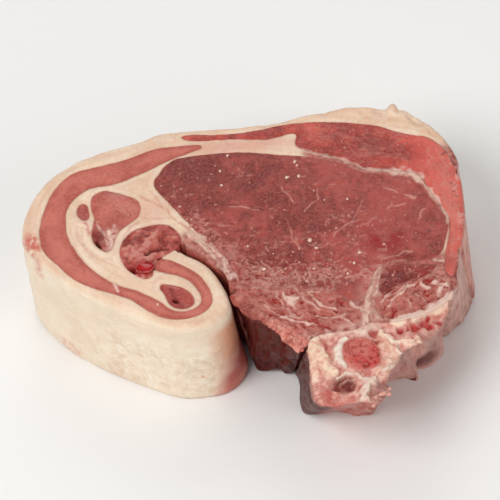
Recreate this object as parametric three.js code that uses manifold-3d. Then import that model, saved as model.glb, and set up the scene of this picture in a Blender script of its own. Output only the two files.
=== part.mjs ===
// A raw goat loin chop with its flap rolled in, lying on its lower cut face.
// Millimetres, +Z up. X runs from the rolled flap to the backbone's side, Y from the backbone to
// the fat of the back, and Z through the chop from one knife cut to the other.
//
// The chop is a slice, so every tissue runs from cut to cut. Each is drawn as an outline on the
// upper cut and leaned a little on its way to the lower one, because the meat relaxes after it is
// cut and the backbone is split on a slant. It is then trimmed to the chop's rounded body.
import * as THREE from "three";
import Module from "manifold-3d";

const THICKNESS = 26; // from the lower cut to the upper cut
const RIM_ROUND = 0.9; // the soft outer edge is rounded this much at each cut
const RIM_STEPS = 2; // facets across that rounding
const TISSUE_GAP = 0.3; // clearance between neighbouring tissues
const BODY_SPACING = 1.7; // between the points of the chop's outer edge
const MUSCLE_SPACING = 1.5; // between the points of a large muscle's edge
const SMALL_SPACING = 1.0; // the same for the small muscles in the flap
const LEAST_POINTS = 8; // on the smallest edge
const BLUNTEST = 0.6; // a corner moves out by at most the clearance over this
const OVERSHOOT = 1; // how far a tissue runs past each cut before it is trimmed

// How the lower cut lies against the upper one: the backbone is split on a slant, which is steeper
// at its tip, so it goes in under the chop. A shift grows from none to all of itself over each
// stretch of x or y given with it. The side below the cap muscle bulges out, and the roll of the
// flap leans towards the backbone.
const SLANTS = [
  { shift: [-3, 14], stretches: [["y", 24, -32], ["x", -10, 14]] },
  { shift: [0, 5], stretches: [["y", -2, -44], ["x", 38, 12]] },
  { shift: [4, 0], stretches: [["y", 14, -4], ["y", -24, -8], ["x", 26, 44]] },
];
const ROLL_LEAN = { shift: [3.2, 0], at: [-5, -4], spread: 9 };

// The chop's outer edge on the upper cut, from the tip of the roll round the flap, along the back
// fat, down the split backbone and up the cleft between the backbone's side and the roll.
const BODY_EDGE = [
  [-14, 6.1], [-9.4, 2.3], [-6.2, -4], [-4.9, -10.5], [-5.9, -13], [-8.5, -14.6], [-12.5, -15.1],
  [-17.5, -14.5], [-24.6, -9.8], [-32.5, -4], [-40, 2.6], [-45.6, 11], [-47, 15.5], [-46.4, 20.5],
  [-44, 26], [-40.4, 30.5], [-35.4, 33.8], [-29.4, 36.2], [-19.9, 38.4], [-15.9, 39.8],
  [-9.4, 39.8], [0, 38.9], [7, 38.9], [19, 40.5], [25, 40.6], [34.5, 39.1], [38, 37.4],
  [43.4, 31.2], [46.6, 23], [46.9, 17], [46, 5], [42, -13.5], [40.8, -16.5], [38.8, -19.5],
  [37.6, -22.5], [35.6, -25.4], [28.8, -29], [27.2, -32.4], [25.2, -34.6], [25.4, -38],
  [20.4, -40.6], [18.2, -39.6], [11.2, -39.6], [9.9, -35], [10.2, -29.5], [9.2, -24.4],
  [6.8, -22.6], [5.9, -19.8], [3.6, -17], [-1.9, -11.2], [-4.4, -6.3], [-6.8, -0.3], [-11, 5.3],
  [-13.5, 6.9],
];

// The long muscle of the back, the eye of the chop.
const EYE_EDGE = [
  [-18, 24.6], [-16.6, 27.6], [-14.2, 30.4], [-11.4, 31.4], [0.6, 31], [8.6, 29], [16.6, 26.8],
  [20.6, 25.4], [26.1, 21.6], [33.4, 19.5], [36.8, 17.6], [38.8, 14], [41.7, 7], [41.9, 3], [39.6, -3.2],
  [37, -4.4], [30.5, -3.4], [26.2, -5.4], [23.6, -11], [22, -13.2], [20.4, -13], [16, -9.2],
  [12.4, -8.4], [5, -6.1], [-2.6, -5.2], [-5.2, -0.4], [-8, 6.6], [-15.2, 19.4],
];

// The muscle that caps the eye: a thin strip in the back fat that thickens and turns down the side.
const CAP_EDGE = [
  [-11.4, 37.7], [0.6, 36.5], [15.6, 37.2], [23.6, 36], [30.6, 33.8], [35.6, 31.2],
  [41.9, 28.2], [45, 22], [45.8, 17], [45.2, 5.5], [43, -4], [41.4, -9.8], [40.4, -8.2],
  [40.7, -4.6], [42.8, 3], [42.7, 7.4], [39.9, 14.6], [38.6, 18.2], [37.2, 19.8], [31.4, 21.5],
  [26.6, 22.9], [20.6, 26.9], [14.6, 29.8], [12.8, 31.8], [13.8, 34], [13, 34.9], [7.6, 34],
  [0.6, 35.2], [-11.4, 37],
];

// The muscle sheet of the flap follows the flap round and back on itself: [x, y, its thickness].
const FLAP_STATIONS = [
  [-7.4, 34.2, 0.9], [-11.4, 33.7, 2.4], [-16.7, 32.6, 4.6], [-22.2, 30.5, 5.3],
  [-27.9, 29.2, 5.6], [-33.4, 28.4, 5.3], [-37.2, 25.6, 4.8], [-39.2, 22, 4.6],
  [-40.3, 17.7, 5.1], [-40.5, 14.2, 5.5], [-39.3, 9.7, 5.2], [-37.4, 6.4, 4.7],
  [-34.6, 2.4, 4.1], [-31.2, -0.6, 2.9], [-27.9, -2.9, 2], [-23.9, -5.4, 2.6],
  [-20.9, -8.1, 3], [-18.3, -10.7, 2.5], [-14.7, -11.8, 1.8], [-11.6, -11.2, 1.9],
  [-9.7, -9.1, 1.9], [-9.6, -6.2, 2], [-10.9, -3.1, 2.1], [-13.3, -0.4, 2.4],
  [-16, 1.3, 3], [-17.8, 2.2, 3.3], [-19.2, 2.9, 2.9],
];

// The small muscles that the flap wraps round.
const OVAL_EDGE = [
  [-31.4, 23.6], [-29, 24.7], [-26.6, 23.9], [-24, 22.2], [-22.3, 21], [-21.7, 18.9],
  [-22.4, 16.6], [-24.3, 14.8], [-26.3, 13.4], [-27.4, 11.4], [-28.1, 9], [-28.9, 7.6],
  [-30.4, 8.6], [-31.8, 10.8], [-32.1, 13], [-31.5, 15.5], [-31, 17.5], [-31.7, 20],
];
const STRIP_EDGE = [
  [-34, 22.2], [-33, 22], [-32.6, 20.2], [-32.4, 18], [-33.3, 17.2], [-34.5, 18.3], [-34.9, 20.3],
];
const SKIRT_EDGE = [
  [-26.3, 4.5], [-26.5, 7.5], [-25.6, 10.3], [-23.6, 12.3], [-20.8, 13.2], [-17.8, 13.3],
  [-15.6, 12.6], [-14.2, 10.8], [-13.6, 8.6], [-14.4, 7], [-16.2, 5.8], [-17.8, 4.8],
  [-20.2, 4.4], [-20.6, 2], [-20.4, 0.2], [-21.4, -0.8], [-23.2, 0.2], [-25.2, 2.2],
];
const ROLL_CORE_EDGE = [
  [-18.8, -2.8], [-17, -3.2], [-15, -4], [-13.2, -5.6], [-12.2, -7.6], [-12.6, -9.3],
  [-14, -10], [-15.6, -9.7], [-17.2, -8.6], [-17.8, -7], [-18.1, -5.2], [-18.9, -3.9],
];

// The small muscles against the backbone.
const MULTIFIDUS_EDGE = [
  [27.4, -6.2], [28.8, -5.2], [31, -4.7], [34, -5.3], [37, -5.8], [38.6, -6.2], [36.4, -8.4],
  [33.6, -9.4], [30, -10.4], [27.2, -12], [26.2, -11.6], [26.6, -9],
];
const SPINAL_EDGE = [
  [25.2, -13.6], [27.6, -12.4], [31, -11], [34.4, -10], [37.4, -9.6], [39.6, -10.4],
  [40.7, -12], [40.2, -14.2], [38.6, -15.8], [35.6, -17.6], [31.6, -18.9], [28, -19.3],
  [25.8, -18], [24.8, -15.8],
];
const UNDER_EDGE = [
  [-3, -6.3], [1, -6.9], [5, -7.3], [9, -8.4], [12.4, -9.6], [15.8, -10.5], [18, -12.6],
  [20.2, -14.4], [21.6, -15.6], [21.6, -17.4], [20.2, -20], [17, -20.6], [13.2, -20.6],
  [10.6, -21.4], [9, -26], [4, -24], [3, -18], [-1, -14], [-5, -10], [-4.4, -7],
];

// The half backbone, drawn past the chop's outer edge where the saw leaves it bare, and its core.
const BACKBONE_EDGE = [
  [8.4, -24.6], [11, -22], [14, -21.4], [17.4, -21.4], [20.8, -21], [22.8, -19.8], [25.4, -20.1],
  [28, -20.4], [31.6, -20], [35.8, -18.9], [39, -17], [41, -15.6], [45, -17], [43, -26],
  [36, -32], [31, -40], [20, -45], [8, -45], [6, -32],
];
const MARROW_EDGE = [
  [17.6, -24], [20, -23.3], [23, -24.4], [24.3, -27], [24, -30.4], [21.8, -31.6], [19, -31.3],
  [17.5, -29.4], [17, -26.6],
];

const SOFT_FAT = { color: 0xe6d0b8, roughness: 0.5 };
const LEAN = { color: 0x974e47, roughness: 0.42 };
const PALE_LEAN = { color: 0xc17467, roughness: 0.45 };
const SINEWY_LEAN = { color: 0xb0716a, roughness: 0.45 };
const BONE = { color: 0xdcbba5, roughness: 0.55 };
const SPONGY_BONE = { color: 0xbd6056, roughness: 0.6 };

const wasm = await Module();
wasm.setup();

// An outline with its points in anticlockwise order.
function anticlockwise(edge) {
  return THREE.ShapeUtils.isClockWise(edge) ? edge.reverse() : edge;
}

// Evenly spaced points on a smooth closed curve through an outline's points.
function smoothEdge(edge, spacing) {
  const curve = new THREE.CatmullRomCurve3(
    edge.map(([x, y]) => new THREE.Vector3(x, y, 0)),
    true,
    "centripetal",
  );
  const count = Math.max(LEAST_POINTS, Math.round(curve.getLength() / spacing));
  const points = curve.getSpacedPoints(count).slice(0, count);
  return anticlockwise(points.map((p) => new THREE.Vector2(p.x, p.y)));
}

// The outline of a sheet of changing thickness that follows a smooth line of stations.
function sheetEdge(stations, spacing) {
  const line = new THREE.CatmullRomCurve3(
    stations.map(([x, y, thickness]) => new THREE.Vector3(x, y, thickness)),
    false,
    "centripetal",
  );
  const count = Math.round(line.getLength() / spacing);
  const near = [];
  const far = [];
  for (let i = 0; i <= count; i++) {
    const p = line.getPointAt(i / count);
    const along = line.getTangentAt(i / count);
    const side = new THREE.Vector2(-along.y, along.x).setLength(p.z / 2);
    near.push(new THREE.Vector2(p.x + side.x, p.y + side.y));
    far.unshift(new THREE.Vector2(p.x - side.x, p.y - side.y));
  }
  return anticlockwise([...near, ...far]);
}

// An outline moved outwards all round by a distance, with its corners kept as corners.
function grown(edge, distance) {
  return edge.map((p, i) => {
    const before = edge[(i + edge.length - 1) % edge.length];
    const after = edge[(i + 1) % edge.length];
    const into = p.clone().sub(before).normalize();
    const out = after.clone().sub(p).normalize();
    const along = into.clone().add(out).normalize();
    const reach = distance / Math.max(into.dot(along), BLUNTEST);
    return new THREE.Vector2(p.x + along.y * reach, p.y - along.x * reach);
  });
}

// A closed solid made of rings of points, all with the same number of points, stacked upwards.
function stacked(rings) {
  const count = rings[0].length;
  const triangles = [];
  const top = (rings.length - 1) * count;
  for (const [a, b, c] of THREE.ShapeUtils.triangulateShape(rings[0], [])) {
    triangles.push(c, b, a);
  }
  for (const [a, b, c] of THREE.ShapeUtils.triangulateShape(rings.at(-1), [])) {
    triangles.push(top + a, top + b, top + c);
  }
  for (let low = 0; low < top; low += count) {
    for (let i = 0; i < count; i++) {
      const here = low + i;
      const next = low + ((i + 1) % count);
      triangles.push(here, next, next + count, here, next + count, here + count);
    }
  }
  const points = rings.flatMap((ring) => ring.flatMap((p) => [p.x, p.y, p.z]));
  return new wasm.Manifold(
    new wasm.Mesh({
      numProp: 3,
      vertProperties: new Float32Array(points),
      triVerts: new Uint32Array(triangles),
    }),
  );
}

// A cut or joined solid as a surface to show.
function toGeometry(solid) {
  const mesh = solid.getMesh();
  return new THREE.BufferGeometry()
    .setAttribute("position", new THREE.BufferAttribute(new Float32Array(mesh.vertProperties), 3))
    .setIndex(new THREE.BufferAttribute(new Uint32Array(mesh.triVerts), 1));
}

// How far a point of the lower cut lies from the same point of the upper cut.
function lowerShift(point) {
  const away = Math.hypot(point.x - ROLL_LEAN.at[0], point.y - ROLL_LEAN.at[1]);
  const lean = Math.exp(-((away / ROLL_LEAN.spread) ** 2));
  const total = new THREE.Vector2(...ROLL_LEAN.shift).multiplyScalar(lean);
  for (const { shift, stretches } of SLANTS) {
    let part = 1;
    for (const [axis, from, to] of stretches) {
      part *= THREE.MathUtils.smoothstep((point[axis] - from) / (to - from), 0, 1);
    }
    total.addScaledVector(new THREE.Vector2(...shift), part);
  }
  return total;
}

// An outline of the upper cut as it lies at a height, moved outwards by a distance.
function ringAt(edge, z, distance) {
  const depth = 1 - z / THICKNESS;
  const leaned = edge.map((p) => p.clone().addScaledVector(lowerShift(p), depth));
  return grown(leaned, distance).map((p) => new THREE.Vector3(p.x, p.y, z));
}

// The chop's whole body, with its outer edge rounded at both cuts.
function roundedBody(edge) {
  const lower = [];
  const upper = [];
  for (let i = 0; i <= RIM_STEPS; i++) {
    const angle = (i / RIM_STEPS) * (Math.PI / 2);
    const inset = RIM_ROUND * (1 - Math.sin(angle));
    const z = RIM_ROUND * (1 - Math.cos(angle));
    lower.push(ringAt(edge, z, -inset));
    upper.unshift(ringAt(edge, THICKNESS - z, -inset));
  }
  return stacked([...lower, ...upper]);
}

// A tissue from past the lower cut to past the upper one, moved outwards by a distance. It has a
// ring of points at each cut, so that the cut leaves no slivers.
function tissue(edge, distance) {
  const heights = [-OVERSHOOT, 0, THICKNESS, THICKNESS + OVERSHOOT];
  return stacked(heights.map((z) => ringAt(edge, z, distance)));
}

// The largest of the pieces that a cut may leave.
function largest(solid) {
  return solid.decompose().reduce((a, b) => (b.volume() > a.volume() ? b : a));
}

const TISSUES = [
  ["loin_eye", smoothEdge(EYE_EDGE, MUSCLE_SPACING), LEAN],
  ["cap_muscle", smoothEdge(CAP_EDGE, MUSCLE_SPACING), PALE_LEAN],
  ["flap_muscle", sheetEdge(FLAP_STATIONS, MUSCLE_SPACING), PALE_LEAN],
  ["oval_muscle", smoothEdge(OVAL_EDGE, SMALL_SPACING), PALE_LEAN],
  ["strip_muscle", smoothEdge(STRIP_EDGE, SMALL_SPACING), PALE_LEAN],
  ["skirt_muscle", smoothEdge(SKIRT_EDGE, SMALL_SPACING), PALE_LEAN],
  ["roll_core_muscle", smoothEdge(ROLL_CORE_EDGE, SMALL_SPACING), PALE_LEAN],
  ["multifidus_muscle", smoothEdge(MULTIFIDUS_EDGE, SMALL_SPACING), LEAN],
  ["spinal_muscle", smoothEdge(SPINAL_EDGE, MUSCLE_SPACING), SINEWY_LEAN],
  ["under_muscle", smoothEdge(UNDER_EDGE, MUSCLE_SPACING), SINEWY_LEAN],
  ["marrow", smoothEdge(MARROW_EDGE, SMALL_SPACING), SPONGY_BONE],
  ["backbone", smoothEdge(BACKBONE_EDGE, MUSCLE_SPACING), BONE],
];

// Each tissue keeps clear of those before it in the list, and the fat is what they all leave.
const body = roundedBody(smoothEdge(BODY_EDGE, BODY_SPACING));
const chop = new THREE.Group();
let taken = null;

function addTissue(name, solid, finish) {
  const mesh = new THREE.Mesh(
    toGeometry(largest(solid)),
    new THREE.MeshStandardMaterial({ ...finish, metalness: 0 }),
  );
  mesh.name = name;
  chop.add(mesh);
}

for (const [name, edge, finish] of TISSUES) {
  const trimmed = tissue(edge, 0).intersect(body);
  addTissue(name, taken ? trimmed.subtract(taken) : trimmed, finish);
  const room = tissue(edge, TISSUE_GAP);
  taken = taken ? taken.add(room) : room;
}
addTissue("fat", body.subtract(taken), SOFT_FAT);

// The origin is under the middle of the chop, on the surface it lies on.
const middle = new THREE.Box3().setFromObject(chop).getCenter(new THREE.Vector3());
chop.position.set(-middle.x, -middle.y, 0);

export default chop;
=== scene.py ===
import functools
import math

import bmesh
import bpy
import numpy as np
from mathutils import Matrix, Vector, geometry
from mathutils.kdtree import KDTree


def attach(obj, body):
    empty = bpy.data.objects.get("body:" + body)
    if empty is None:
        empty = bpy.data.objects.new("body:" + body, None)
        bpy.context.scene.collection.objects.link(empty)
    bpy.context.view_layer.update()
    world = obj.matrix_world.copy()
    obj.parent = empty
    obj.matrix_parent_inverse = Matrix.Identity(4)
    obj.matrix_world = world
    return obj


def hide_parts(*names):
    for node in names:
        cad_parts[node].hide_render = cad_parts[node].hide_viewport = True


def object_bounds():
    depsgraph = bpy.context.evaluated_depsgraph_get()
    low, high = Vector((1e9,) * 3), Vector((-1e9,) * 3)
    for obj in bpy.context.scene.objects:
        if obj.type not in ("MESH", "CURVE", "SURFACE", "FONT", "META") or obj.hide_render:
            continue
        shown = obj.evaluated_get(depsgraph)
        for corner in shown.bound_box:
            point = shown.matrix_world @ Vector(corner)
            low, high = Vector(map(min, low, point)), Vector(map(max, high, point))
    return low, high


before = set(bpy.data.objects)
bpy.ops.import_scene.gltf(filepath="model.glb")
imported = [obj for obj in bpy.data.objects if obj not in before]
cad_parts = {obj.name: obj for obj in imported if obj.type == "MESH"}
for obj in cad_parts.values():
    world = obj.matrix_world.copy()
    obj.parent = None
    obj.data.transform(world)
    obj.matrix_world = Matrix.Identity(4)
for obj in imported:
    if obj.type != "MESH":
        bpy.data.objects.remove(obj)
cad_low, cad_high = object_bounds()

# ----------------------------------------------------------------------------------------------
# The fat. Ivory back fat lies over the eye, more wraps both faces of the flap, and thin seams of
# it part the muscles; it is all one soft mass. The knife leaves its cut face smooth and its outer
# edge rounded, and the skin side is faintly streaked, stained pink and dotted with orange flecks.

MM = 0.001  # in metres; from here down to the floor, all other lengths are in millimetres
THICKNESS = (cad_high.z - cad_low.z) / MM
CAD_RIM = 0.9  # how far a bare side stands out past the cut's edge
STANDS_OUT = 0.7  # the most that anything rises above the plane of the upper cut
OVERLAP = 0.2  # how far tissues that touch reach into each other
JOINED = (0.42, 0.8)  # an edge is joined if its neighbour is this near, and bare if it is this far off
FAR = 50.0  # further off than anything that counts
TINY = 1e-9  # keeps a division by nothing from failing
EDGE_STEP = 0.2  # how far apart the points are that stand for the neighbours' edges
EDGE_BLUR = 0.55  # how widely the corners of an edge are eased
STEADIER = 0.7  # the share of its wobble that an edge loses where it is bare
# How the chop leans. Each slant moves the lower cut by this much in x and y, between places where
# it begins and places where it is whole, which are given along each axis that counts for it.
SLANTS = [
    ((-3, 14), [("y", 24, -32), ("x", -10, 14)]),
    ((0, 5), [("y", -2, -44), ("x", 38, 12)]),
    ((4, 0), [("y", 14, -4), ("y", -24, -8), ("x", 26, 44)]),
]
# The roll leans to the right by this much at the lower cut, and the lean fades out around it.
ROLL_LEAN = 3.2
ROLL_AT = (-5, -4)
ROLL_SPREAD = 9
# A bare side's rows of points lie close together at its rounded rims and evenly between them.
WALL_STEPS = 34
RIM_ROWS = (0.08, 0.3, 0.65, 1.1, 1.6)
FOOT_ROWS = (1.2, 0.6, 0.25, 0.08)
EVEN_ROWS = (2.2, 2)  # how far below the upper cut and above the lower one the even rows begin
RIM_DROP = 1.35  # how deep the upper rim's rounding is for each millimetre that it stands out
FOOT_DROP = 1.2  # how deep the lower rim's rounding is
COARSER = 2.4  # how much wider apart the points of the lower cut are, which is hardly ever seen
SEAM_REACH = 9  # the furthest from a seam that a finish can tell
WALL_FADE = 1.2  # how far from a cut the side has its own look in full
FAT_SPACING = 0.32


def cloud(at, size, seed):
    """Smooth random hills and hollows from -1 to 1, about this many millimetres apart.

    The places are lists of their x and y and, if there is a third direction, of that too.
    """
    spots = [v / size + 0 * at[0] for v in (*at, 0)[:3]]
    cells = [np.floor(v).astype(np.int64) for v in spots]
    parts = [v - c for v, c in zip(spots, cells)]
    eased = [f * f * f * (f * (f * 6 - 15) + 10) for f in parts]
    total = np.zeros_like(eased[0])
    for corner in range(8):
        ups = (corner & 1, corner >> 1 & 1, corner >> 2 & 1)
        key = np.full(cells[0].shape, seed * 7919, np.int64)
        weight = np.ones_like(total)
        # Each corner of a cell gets its own height, worked out from its place.
        for cell, up, part, prime in zip(cells, ups, eased, (73856093, 19349663, 83492791)):
            key = key ^ ((cell + up) * prime)
            weight = weight * (part if up else 1 - part)
        key = (key ^ (key >> 13)) * 1274126177
        key = key ^ (key >> 16)
        total += weight * ((key & 0xFFFF) / 32767.5 - 1)
    return total


def ease(value, low=0.0, high=1.0):
    """A smooth step from 0 at low to 1 at high."""
    part = np.clip((value - low) / (high - low), 0, 1)
    return part * part * (3 - 2 * part)


def most(*amounts):
    """The largest of several amounts at each place."""
    return functools.reduce(np.maximum, amounts)


def leaned(x, y, depth):
    """The point of the chop that lies this far below a point of the upper cut."""
    away = np.hypot(x - ROLL_AT[0], y - ROLL_AT[1]) / ROLL_SPREAD
    shift_x, shift_y = ROLL_LEAN * np.exp(-away * away), 0
    for (across, up), stretches in SLANTS:
        share = 1.0
        for axis, start, end in stretches:
            share = share * ease(((x if axis == "x" else y) - start) / (end - start))
        shift_x, shift_y = shift_x + across * share, shift_y + up * share
    part = depth / THICKNESS
    return x + part * shift_x, y + part * shift_y


def cut_height(at):
    """How uneven the knife leaves the upper cut."""
    waves = 0.32 * cloud(at, 19, 1) + 0.12 * cloud(at, 6.5, 2) + 0.03 * cloud(at, 2.1, 3)
    return waves + 0.3 * near_line(at, PLATE_LINE, 2.4)


def edge_loops(node):
    """The closed edges of a CAD node's upper cut, in millimetres, the material on their left."""
    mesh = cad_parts[node].data
    top = max(v.co.z for v in mesh.vertices) - 0.01 * MM
    sides = set()
    for face in mesh.polygons:
        corners = [mesh.vertices[i].co for i in face.vertices]
        if min(c.z for c in corners) > top:
            keys = [(round(c.x / MM, 3), round(c.y / MM, 3)) for c in corners]
            sides.update(zip(keys, keys[1:] + keys[:1]))
    after = {a: b for a, b in sides if a != b and (b, a) not in sides}
    loops = []
    while after:
        loop = [next(iter(sorted(after)))]
        while loop[-1] in after:
            loop.append(after.pop(loop[-1]))
        loops.append(np.array(loop[:-1]))
    return loops


outlines = {node: edge_loops(node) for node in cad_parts}


def even_ring(loop, spacing, blur=0.0):
    """A closed edge with evenly spaced points, its corners eased over this many millimetres."""
    closed = np.vstack([loop, loop[:1]])
    run = np.concatenate([[0], np.cumsum(np.hypot(*np.diff(closed, axis=0).T))])
    count = max(12, int(run[-1] / spacing))
    at = np.arange(count) * run[-1] / count
    ring = np.stack([np.interp(at, run, closed[:, k]) for k in (0, 1)], 1)
    wave = np.fft.rfftfreq(count, run[-1] / count)
    keep = np.exp(-2 * (math.pi * blur * wave) ** 2)
    return np.fft.irfft(np.fft.rfft(ring, axis=0) * keep[:, None], count, axis=0)


def outward(ring):
    """The direction away from the material at each point of a ring."""
    along = np.roll(ring, -1, axis=0) - np.roll(ring, 1, axis=0)
    side = np.stack([along[:, 1], -along[:, 0]], 1)
    return side / np.maximum(np.linalg.norm(side, axis=1, keepdims=True), TINY)


def nearest(points, targets):
    """How far each point is from the closest target."""
    if len(targets) == 0:
        return np.full(len(points), FAR)
    tree = KDTree(len(targets))
    for i, (x, y) in enumerate(targets):
        tree.insert((x, y, 0), i)
    tree.balance()
    return np.array([tree.find((x, y, 0))[2] for x, y in points])


def inside(points, rings):
    """Which points lie within the rings; a ring within a ring is a hole."""
    odd = np.zeros(len(points), bool)
    x, y = points[:, 0], points[:, 1]
    for ring in rings:
        for (ax, ay), (bx, by) in zip(ring, np.roll(ring, -1, axis=0)):
            if ay == by:
                continue
            rows = (y >= min(ay, by)) & (y < max(ay, by))
            odd[rows] ^= x[rows] < ax + (y[rows] - ay) * (bx - ax) / (by - ay)
    return odd


def lattice(rings, spacing):
    """Points in a honeycomb pattern that fill the rings."""
    low = np.min([r.min(0) for r in rings], axis=0)
    high = np.max([r.max(0) for r in rings], axis=0)
    columns = np.arange(low[0], high[0], spacing)
    lines = np.arange(low[1], high[1], spacing * math.sqrt(0.75))
    shift = np.arange(len(lines))[:, None] % 2 * spacing / 2
    x = columns[None, :] + shift
    points = np.stack([x.ravel(), np.repeat(lines, len(columns))], 1)
    points = points[inside(points, rings)]
    return points[nearest(points, np.vstack(rings)) > spacing * 0.6]


def fill(rings, points):
    """Triangles over the rings' inside, with any points that their crossings add."""
    corners = [Vector(p) for p in np.vstack(rings + [points])]
    edges = []
    start = 0
    for ring in rings:
        edges += [(start + i, start + (i + 1) % len(ring)) for i in range(len(ring))]
        start += len(ring)
    places, _, faces, *_ = geometry.delaunay_2d_cdt(corners, edges, [], 0, 1e-7, False)
    places = np.array([(p.x, p.y) for p in places])
    faces = np.array([f for f in faces if len(f) == 3])
    faces = faces[inside(places[faces].mean(1), rings)]
    return places, faces


class Tissue:
    """A tissue that runs from cut to cut, as arrays with one value for each of its points."""

    cuts = {}

    def __init__(self, node, spacing, wall_steps=0, soft=None):
        """Lays out the points. soft(at) is how much rounder than the CAD its bare rim is."""
        rings, frees, softs = [], [], []
        others = [loop for other, loops in outlines.items() if other != node for loop in loops]
        others = np.vstack([even_ring(loop, EDGE_STEP) for loop in others])
        for loop in outlines[node]:
            ring = even_ring(loop, spacing, EDGE_BLUR)
            free = ease(nearest(even_ring(loop, spacing), others), *JOINED)
            extra = soft(ring.T) * free if soft else 0 * free
            grown = outward(ring) * (OVERLAP * (1 - free) - extra)[:, None]
            rings.append(ring + grown + self.wobble(ring) * (1 - STEADIER * free)[:, None])
            frees.append(free)
            softs.append(extra)
        self.lay_out(rings, frees, softs, spacing, wall_steps)
        self.node = node
        self.layers = {}

    @staticmethod
    def wobble(ring):
        """The small wander of a real edge, the same for the tissues on both its sides."""
        wide = [0.2 * cloud(ring.T, 5.2, seed) for seed in (11, 12)]
        fine = [0.07 * cloud(ring.T, 1.6, seed) for seed in (13, 14)]
        return np.stack([w + f for w, f in zip(wide, fine)], 1)

    def lay_out(self, rings, frees, softs, spacing, wall_steps):
        """Works out the points of both cuts and of the side between them, and the faces."""
        top, top_faces = fill(rings, lattice(rings, spacing))
        low, low_faces = fill(rings, lattice(rings, spacing * COARSER))
        ring_count = sum(len(r) for r in rings)
        ring = np.vstack(rings)
        free, soft = np.concatenate(frees), np.concatenate(softs)
        out = np.vstack([outward(r) for r in rings])
        if wall_steps:
            even = wall_steps - len(RIM_ROWS) - len(FOOT_ROWS)
            middle = np.linspace(EVEN_ROWS[0], THICKNESS - EVEN_ROWS[1], even)
            depths = [*RIM_ROWS, *middle, *(THICKNESS - row for row in FOOT_ROWS)]
        else:
            # A side that is hidden all round needs no more than this.
            depths = [0.6, THICKNESS / 2]
        bare = np.concatenate([np.full(len(r), f.max() > 0.5) for r, f in zip(rings, frees)])
        plans, downs, pushes = [top], [np.zeros(len(top))], [np.zeros(len(top))]
        levels = [np.arange(ring_count)]
        for depth in depths:
            level = np.full(ring_count, -1)
            level[bare] = sum(len(p) for p in plans) + np.arange(bare.sum())
            levels.append(level)
            plans.append(ring[bare])
            downs.append(np.full(bare.sum(), depth))
            pushes.append(self.swell(free, soft, depth)[bare])
        levels.append(sum(len(p) for p in plans) + np.arange(ring_count))
        plans.append(low)
        downs.append(np.full(len(low), THICKNESS))
        foot = np.zeros(len(low))
        foot[:ring_count] = self.swell(free, soft, THICKNESS)
        pushes.append(foot)
        self.plan = np.vstack(plans)
        self.at = tuple(self.plan.T)
        self.depth = np.concatenate(downs)
        self.within = (*self.at, self.depth)
        self.side = np.concatenate(pushes)
        self.out = np.zeros_like(self.plan)
        self.free = np.zeros(len(self.plan))
        self.wall = np.zeros(len(self.plan), bool)
        self.wall[len(top) : len(self.plan) - len(low)] = True
        self.on_top = np.arange(len(self.plan)) < len(top)
        for level in levels:
            here = level >= 0
            self.out[level[here]] = out[here]
            self.free[level[here]] = free[here]
        self.seam = nearest(self.plan, ring[free < 0.5])
        self.rim = nearest(self.plan, ring[free >= 0.5])
        self.rise = np.zeros(len(self.plan))
        self.push = np.zeros(len(self.plan))
        self.faces = top_faces.tolist() + (low_faces[:, ::-1] + levels[-1][0]).tolist()
        self.smooth = [True] * len(self.faces)
        offset = 0
        for one in rings:
            here = offset + np.arange(len(one))
            there = np.roll(here, -1)
            rows = levels if bare[offset] else [levels[0], levels[-1]]
            for upper, lower in zip(rows, rows[1:]):
                corners = [upper[here], lower[here], lower[there], upper[there]]
                self.faces += np.stack(corners, 1).tolist()
                self.smooth += (free[here] > 0.5).tolist()
            offset += len(one)

    @staticmethod
    def swell(free, soft, depth):
        """How far the wall stands out past the cut's edge at a depth, where it is bare."""
        round_top = RIM_DROP * (CAD_RIM + soft)
        upper = np.sqrt(1 - (1 - np.clip(depth / round_top, 0, 1)) ** 2)
        lower = math.sqrt(1 - (1 - min((THICKNESS - depth) / FOOT_DROP, 1)) ** 2)
        return free * ((CAD_RIM + soft) * upper - CAD_RIM * (1 - lower))

    def bulge(self, amount, top=1.0):
        """Pushes the bare side out by this many millimetres, and fades that out at the lower cut.

        top is the share of it at each point, which can fade it out at the upper cut as well.
        """
        self.push += amount * self.free * top * ease(THICKNESS - self.depth, 0.3, 2)

    def piece(self, name, finish):
        """The tissue as a Blender object with this finish."""
        side = (self.side + self.push)[:, None]
        fade = 1 - self.depth / THICKNESS
        rise = cut_height(self.at) + self.rise * ease(self.seam, 0, 0.5)
        rise = np.where(rise > 0, STANDS_OUT * np.tanh(rise / STANDS_OUT), rise)
        z = THICKNESS - self.depth + fade * rise
        x, y = leaned(*(self.plan + self.out * side).T, self.depth)
        points = np.stack([x, y, z], 1)
        Tissue.cuts[self.node] = points[self.on_top]
        mesh = bpy.data.meshes.new(name)
        mesh.from_pydata((points * MM).tolist(), [], self.faces)
        # The hidden walls are flat, so that the cut is evenly lit right up to a seam.
        mesh.polygons.foreach_set("use_smooth", self.smooth)
        self.layers["seam"] = np.where(self.wall, SEAM_REACH, np.minimum(self.seam, SEAM_REACH))
        from_cut = np.minimum(self.depth, THICKNESS - self.depth)
        self.layers["wall"] = np.where(self.wall, ease(from_cut, 0, WALL_FADE), 0)
        for layer, values in self.layers.items():
            store = mesh.attributes.new(layer, "FLOAT", "POINT")
            store.data.foreach_set("value", np.asarray(values, np.float32))
        mesh.materials.append(finish.material)
        piece = bpy.data.objects.new(name, mesh)
        bpy.context.scene.collection.objects.link(piece)
        return piece


def srgb(red, green, blue):
    """A colour as it is seen, 0 to 255 each, as the shader wants it."""
    seen = [v / 255 for v in (red, green, blue)]
    return [v / 12.92 if v <= 0.04045 else ((v + 0.055) / 1.055) ** 2.4 for v in seen] + [1.0]


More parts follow.
